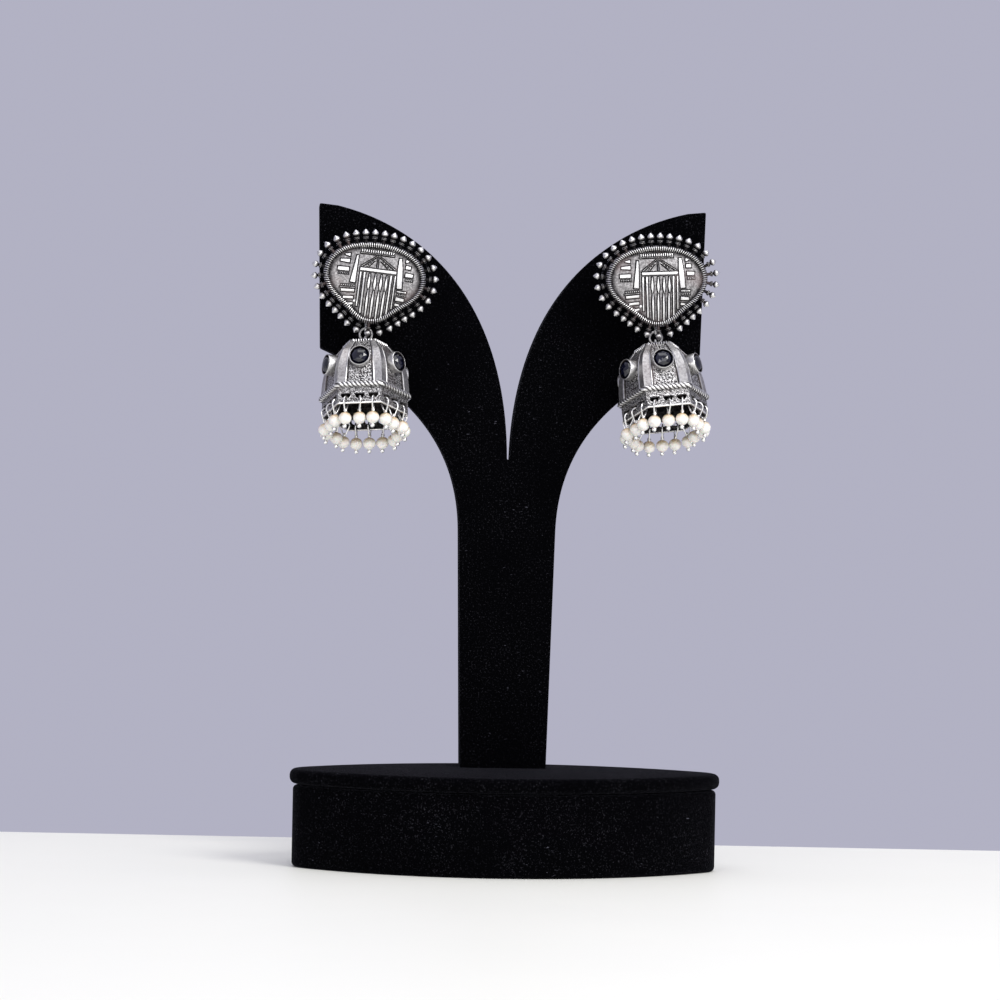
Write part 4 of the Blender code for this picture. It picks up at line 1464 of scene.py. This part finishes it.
        def band(top: bool) -> Place:
            """Place function of the part over or under the windows.

            Args:
                top: Whether it is the part over the windows.

            Returns:
                The function.
            """
            def place(across: float, up: float) -> Spot:
                """Spot of the band.

                Args:
                    across: Share across the sheet.
                    up: Share up the sheet.

                Returns:
                    The spot.
                """
                column = round(across * columns * 6)
                side = (column // columns) % 6
                offset, depth = across_at(column % columns)
                first = self.corner(side, self.dome_radius)
                second = self.corner(side + 1, self.dome_radius)
                point = (first + second) / 2 + (second - first).normalized() * offset
                sill = self.window_top + (self.window_bottom - self.window_top) * depth
                if top:
                    drop = mixed(self.window_top, self.dome_drop - 0.4, up)
                else:
                    drop = mixed(self.bottom, sill, up)
                at_window = depth > 0 and (up < 0.01 if top else up > 0.99)
                return Spot(point - UP * drop, 0.9 if at_window else 0.68, 0.8)
            return place

        blank = Blank()
        blank.sheet(columns * 6, rows_above, band(True), closed=False)
        blank.sheet(columns * 6, rows_below, band(False), closed=False)
        blank.closed_up(STITCH)
        outward = sum(face.normal.xy.dot(face.calc_center_median().xy) for face in blank.shape.faces)
        if outward < 0:
            bmesh.ops.reverse_faces(blank.shape, faces=blank.shape.faces)
        outer = set(blank.shape.verts)
        bmesh.ops.solidify(blank.shape, geom=list(blank.shape.faces), thickness=self.wall)
        blank.mark([vert for vert in blank.shape.verts if vert not in outer], 0.15, 0.3)
        path = self.hex_path(self.dome_radius - 0.05, self.bottom - 0.05, 24, 0.35)
        return blank.wire(path, 0.2, 8, True)

    def collet(self) -> Blank:
        """Smooth tube that holds a stone, with a thin bright lip.

        Returns:
            The collet, along +Z.
        """
        inner, reach, floor = self.collet_inner, self.collet_reach, self.collet_reach - self.bore_depth
        radius, bore = self.collet_radius, self.bore_radius
        profile = (
            (0.0, inner, 0.1), (radius, inner, 0.1), (radius, inner + 0.9, 0.4), (radius, reach - 1.0, 0.66),
            (radius, reach - 0.14, 0.7), (radius - 0.05, reach - 0.04, 0.8), (radius - 0.12, reach, 0.7),
            (radius - 0.2, reach - 0.03, 0.3), (bore, reach - 0.12, 0.0), (bore, floor, 0.0),
            (0.0, floor, 0.0),
        )
        return Blank().lathe(profile, 36)

    def side_turns(self) -> list[Matrix]:
        """Turns that bring a thing that faces -Y to each side."""
        return [Matrix.Rotation(math.pi / 3 * index, 4, "Z") for index in range(6)]

    def collet_frame(self) -> Matrix:
        """Frame of the front collet, its +Z outwards.

        Returns:
            The frame.
        """
        rise = math.radians(self.collet_rise)
        return Matrix.Translation((0.0, 0.0, -self.collet_drop)) @ aimed(
            Vector((0.0, -math.cos(rise), math.sin(rise))))

    def build(self) -> None:
        """Makes the bell's metal pieces."""
        name, spot = f"{self.hang.side}_bell", self.hang.bell()
        body, slot = self.hang.bell_body, Slot.SILVER
        self.shell().moved(spot).finished(f"{name}_dome", self.look, body, slot, [name], 24.0)
        self.lining().moved(spot).finished(f"{name}_lining", self.look, body, slot)
        self.cap().moved(spot).finished(f"{name}_cap", self.look, body, slot)
        self.rope().moved(spot).finished(f"{name}_rope", self.look, body, slot, (), 60.0)
        self.gallery().moved(spot).finished(f"{name}_gallery", self.look, body, slot)
        tubes = Blank().struck(self.collet(), [turn @ self.collet_frame() for turn in self.side_turns()])
        tubes.moved(spot).finished(f"{name}_collets", self.look, body, slot)


@dataclass
class Stones:
    """Domed, faceted stones in a bell's collets."""

    look: bpy.types.Material
    bell: Bell
    gap: float = 0.06
    girdle: float = 0.45
    crown: float = 1.3

    def stone(self) -> Blank:
        """One stone along +Z: a small table, three rows of facets and a girdle.

        Returns:
            The stone.
        """
        radius = self.bell.bore_radius - self.gap
        top = self.girdle + self.crown
        rings = (
            (radius, 0.0, 16, 0.0), (radius, self.girdle, 16, 0.0),
            (0.84 * radius, mixed(self.girdle, top, 0.55), 8, 0.5),
            (0.54 * radius, mixed(self.girdle, top, 0.87), 8, 0.0), (0.22 * radius, top, 5, 0.5),
        )
        blank = Blank()
        for reach, height, count, shift in rings:
            for index in range(count):
                angle = TURN * (index + shift) / count
                blank.shape.verts.new((reach * math.cos(angle), reach * math.sin(angle), height))
        made = bmesh.ops.convex_hull(blank.shape, input=blank.shape.verts)
        loose = [item for item in made["geom_interior"] if isinstance(item, bmesh.types.BMVert)]
        bmesh.ops.delete(blank.shape, geom=loose, context="VERTS")
        blank.closed_up()
        bmesh.ops.dissolve_limit(blank.shape, angle_limit=math.radians(1.0), verts=blank.shape.verts,
                                 edges=blank.shape.edges)
        bmesh.ops.bevel(blank.shape, geom=list(blank.shape.edges), offset=0.025, segments=1, affect="EDGES",
                        profile=0.5, material=-1)
        return blank

    def build(self) -> None:
        """Makes a bell's six stones."""
        hang = self.bell.hang
        seat = Matrix.Translation((0.0, 0.0, self.bell.collet_reach - self.bell.bore_depth + 0.25))
        for number, turn in enumerate(self.bell.side_turns(), 1):
            place = hang.bell() @ turn @ self.bell.collet_frame() @ seat @ turned_by(17.0 * number, "Z")
            name = f"{hang.side}_stone_{number}"
            cut = self.stone().moved(place)
            cut.finished(f"{name}_cut", self.look, hang.bell_body, Slot.STONE, [name], 4.0)


@dataclass
class PearlFringe:
    """Eighteen pearl drops on wire loops, each through a window of the gallery."""

    skin: bpy.types.Material
    silver: bpy.types.Material
    bell: Bell
    radius: float = 1.52
    drop: float = 3.8
    loop_half: float = 1.12
    loop_clear: float = 0.45
    loop_wire: float = 0.18
    loop_root: float = 0.35
    tip: float = 0.54
    corner_splay: float = 5.0
    opening: float = 200.0
    sway: float = 20.0
    leg_gap: float = 0.10
    coil_radius: float = 0.34
    coil_height: float = 0.62
    coil_turns: float = 2.6
    coil_wire: float = 0.13

    def pearl(self, number: int) -> Blank:
        """One slightly uneven pearl, stained at its top.

        Args:
            number: Its number, which picks its unevenness.

        Returns:
            The pearl.
        """
        blank = Blank().ball(self.radius, 24, 16)
        for vert in blank.shape.verts:
            height = vert.co.z / self.radius
            blank.mark([vert], 0.5 - 0.5 * height)
            lump = noise.noise(vert.co * 0.7 + Vector((number * 3.7, 0.0, 1.3)))
            vert.co *= 0.985 + 0.035 * lump
            vert.co.z *= 0.985 - 0.05 * max(height, 0.0) ** 4
        return blank

    def wirework(self) -> Blank:
        """Loop, the coil that closes it, and the ball below the pearl.

        Returns:
            The wirework, from its hook down.
        """
        strip = (self.bell.bottom - self.bell.window_bottom) / 2
        crown = strip + self.loop_clear + self.loop_wire - self.loop_half
        neck = -self.drop + self.radius - self.loop_root
        begin, finish = math.radians(self.opening), math.radians(180.0 - self.opening)
        arc = []
        for step in range(17):
            angle = mixed(begin, finish, step / 16)
            height = crown + math.sin(angle) * self.loop_half
            arc.append(Vector((math.cos(angle) * self.loop_half, 0.0, height)))
        right = [arc[-1].lerp(Vector((self.leg_gap, 0.0, neck)), step / 5) for step in range(1, 6)]
        left = [Vector((-self.leg_gap, 0.0, neck)).lerp(arc[0], step / 5) for step in range(0, 5)]
        blank = Blank().wire(left + arc + right, self.loop_wire, 8, False)
        top = -self.drop + self.radius
        coil = []
        for step in range(33):
            angle = TURN * self.coil_turns * step / 32
            ring = Vector((math.cos(angle), math.sin(angle), 0.0)) * self.coil_radius
            coil.append(ring + UP * (top - 0.06 + self.coil_height * step / 32))
        blank.wire(coil, self.coil_wire, 6, False)
        bead = Blank().ball(self.tip, 14, 10)
        foot = -self.drop - self.radius
        return blank.struck(bead, [Matrix.Translation((0.0, 0.0, foot - self.tip * 0.62))])

    def places(self) -> list[Matrix]:
        """Frame of each drop, hung plumb with its loop across the gallery's wall.

        Returns:
            The frames, side by side round the bell.
        """
        bell = self.bell
        turn_of_bell = bell.hang.bell_turn().to_3x3()
        plumb = turn_of_bell.inverted().to_4x4()
        middle = bell.dome_radius * math.cos(math.pi / 6) - bell.wall / 2
        strip = (bell.window_bottom + bell.bottom) / 2
        places = []
        for side, turn in enumerate(bell.side_turns()):
            for step in (-1, 0, 1):
                hook = turn @ Vector((step * bell.window_pitch, -middle, -strip))
                outward = turn_of_bell @ (turn.to_3x3() @ Vector((0.0, -1.0, 0.0)))
                heading = Matrix.Rotation(math.atan2(outward.y, outward.x), 4, "Z")
                splay = turned_by(-self.corner_splay if step else 0.0, "Y")
                sway = turned_by(self.sway * math.sin(2.4 * (3 * side + step) + 1.0), "Z")
                places.append(bell.hang.bell() @ Matrix.Translation(hook) @ plumb @ heading @ sway @ splay)
        return places

    def build(self) -> None:
        """Makes the pearls and their wirework."""
        hang = self.bell.hang
        nodes = [f"{hang.side}_pearl_{number:02d}" for number in range(1, 19)]
        pearls = Blank()
        places = self.places()
        for number, place in enumerate(places):
            centre = place @ Matrix.Translation((0.0, 0.0, -self.drop))
            pearls.struck(self.pearl(number), [centre])
        pearls.finished(f"{hang.side}_pearls", self.skin, hang.bell_body, Slot.PEARL, nodes)
        wires = Blank().struck(self.wirework(), places)
        wires.finished(f"{hang.side}_pearl_loops", self.silver, hang.bell_body, Slot.SILVER)


@dataclass
class Studio:
    """Table, surroundings, lamps and camera."""

    heading: float = -4.0
    height: float = 85.7
    distance: float = 822.5
    aside: float = -1.9
    roll: float = 1.1
    lens: float = 126.0
    table_back: float = 66.0

    def table(self) -> None:
        """White table whose back edge shows behind the foot."""
        shape = bmesh.new()
        bmesh.ops.create_cube(shape, size=1.0)
        bmesh.ops.scale(shape, vec=(2.4, 1.4, 0.02), verts=shape.verts)
        bmesh.ops.translate(shape, vec=(0.0, self.table_back * MM - 0.7, -0.01), verts=shape.verts)
        bmesh.ops.bevel(shape, geom=list(shape.edges), offset=0.0015, segments=3, affect="EDGES",
                        profile=0.5, material=-1)
        turn = Matrix.Rotation(math.radians(self.heading), 4, "Z")
        bmesh.ops.transform(shape, matrix=turn, verts=shape.verts)
        set_down(shape, "table", TableTop().material())

    def backdrop(self) -> None:
        """Even lavender-grey surroundings."""
        world = bpy.data.worlds.new("studio")
        world.use_nodes = True
        tree = world.node_tree
        ground = tree.nodes["Background"]
        ground.inputs["Color"].default_value = (0.445, 0.443, 0.548, 1.0)
        ground.inputs["Strength"].default_value = 1.0
        bpy.context.scene.world = world

    def lamp(self, name: str, place: tuple, size: tuple, power: float, colour: tuple) -> None:
        """Soft light that faces the earrings.

        Args:
            name: Its name.
            place: Where it stands, in metres.
            size: Its width and height, in metres.
            power: Its power in watts.
            colour: Its colour.
        """
        light = bpy.data.lights.new(name, "AREA")
        light.shape = "RECTANGLE"
        light.size, light.size_y = size
        light.energy = power
        light.color = colour
        lamp = bpy.data.objects.new(name, light)
        lamp.location = place
        lamp.rotation_euler = (Vector((0.0, 0.0, 0.09)) - Vector(place)).to_track_quat("-Z", "Y").to_euler()
        bpy.context.scene.collection.objects.link(lamp)

    def camera(self) -> None:
        """Level camera at the photograph's place, with the photograph's slight roll."""
        angle = math.radians(-self.heading)
        ahead = Vector((math.sin(angle), math.cos(angle), 0.0))
        right = Vector((math.cos(angle), -math.sin(angle), 0.0))
        spot = Vector((0.0, 8.0, self.height)) - ahead * self.distance + right * self.aside
        roll = math.radians(self.roll)
        across = right * math.cos(roll) + UP * math.sin(roll)
        above = UP * math.cos(roll) - right * math.sin(roll)
        turn = Matrix((across, above, -ahead)).transposed()
        data = bpy.data.cameras.new("camera")
        data.lens = self.lens
        data.sensor_width = 36.0
        data.clip_start = 0.05
        camera = bpy.data.objects.new("camera", data)
        camera.matrix_world = Matrix.Translation(spot * MM) @ turn.to_4x4()
        bpy.context.scene.collection.objects.link(camera)
        bpy.context.scene.camera = camera

    def build(self) -> None:
        """Sets the stage."""
        self.table()
        self.backdrop()
        warm, plain = (1.0, 0.99, 0.97), (1.0, 1.0, 1.0)
        self.lamp("key_right", (0.75, -0.85, 0.85), (0.55, 0.55), 11.0, warm)
        self.lamp("fill_left", (-0.6, -1.3, 0.14), (0.8, 0.5), 5.0, warm)
        self.lamp("front", (0.25, -1.4, 0.6), (1.2, 0.8), 6.0, plain)
        self.lamp("overhead", (0.0, -0.15, 1.1), (1.0, 0.8), 5.0, plain)
        self.camera()
        bpy.context.scene.view_settings.view_transform = "Standard"


HANGS: tuple[Hang, ...] = (
    Hang("left", -32.8, 135.45, 6.2, -10.1, 0.3, 20.0, Body.LEFT_LINK, Body.LEFT_BELL),
    Hang("right", 33.15, 136.3, -2.9, 0.5, -6.6, 20.0, Body.RIGHT_LINK, Body.RIGHT_BELL),
)


def main() -> None:
    """Builds the stand, both earrings and the studio."""
    logging.basicConfig(level=logging.INFO, format="%(message)s")
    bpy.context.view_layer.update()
    silver = OxidisedSilver().material()
    stone, pearl = DarkStone().material(), PearlSkin().material()
    Stand(Velvet().material()).build()
    for hang in HANGS:
        bell = Bell(silver, hang)
        Stud(silver, hang).build()
        Link(silver, hang).build()
        bell.build()
        Stones(stone, bell).build()
        PearlFringe(pearl, silver, bell).build()
    Studio().build()


if __name__ == "__main__":
    main()
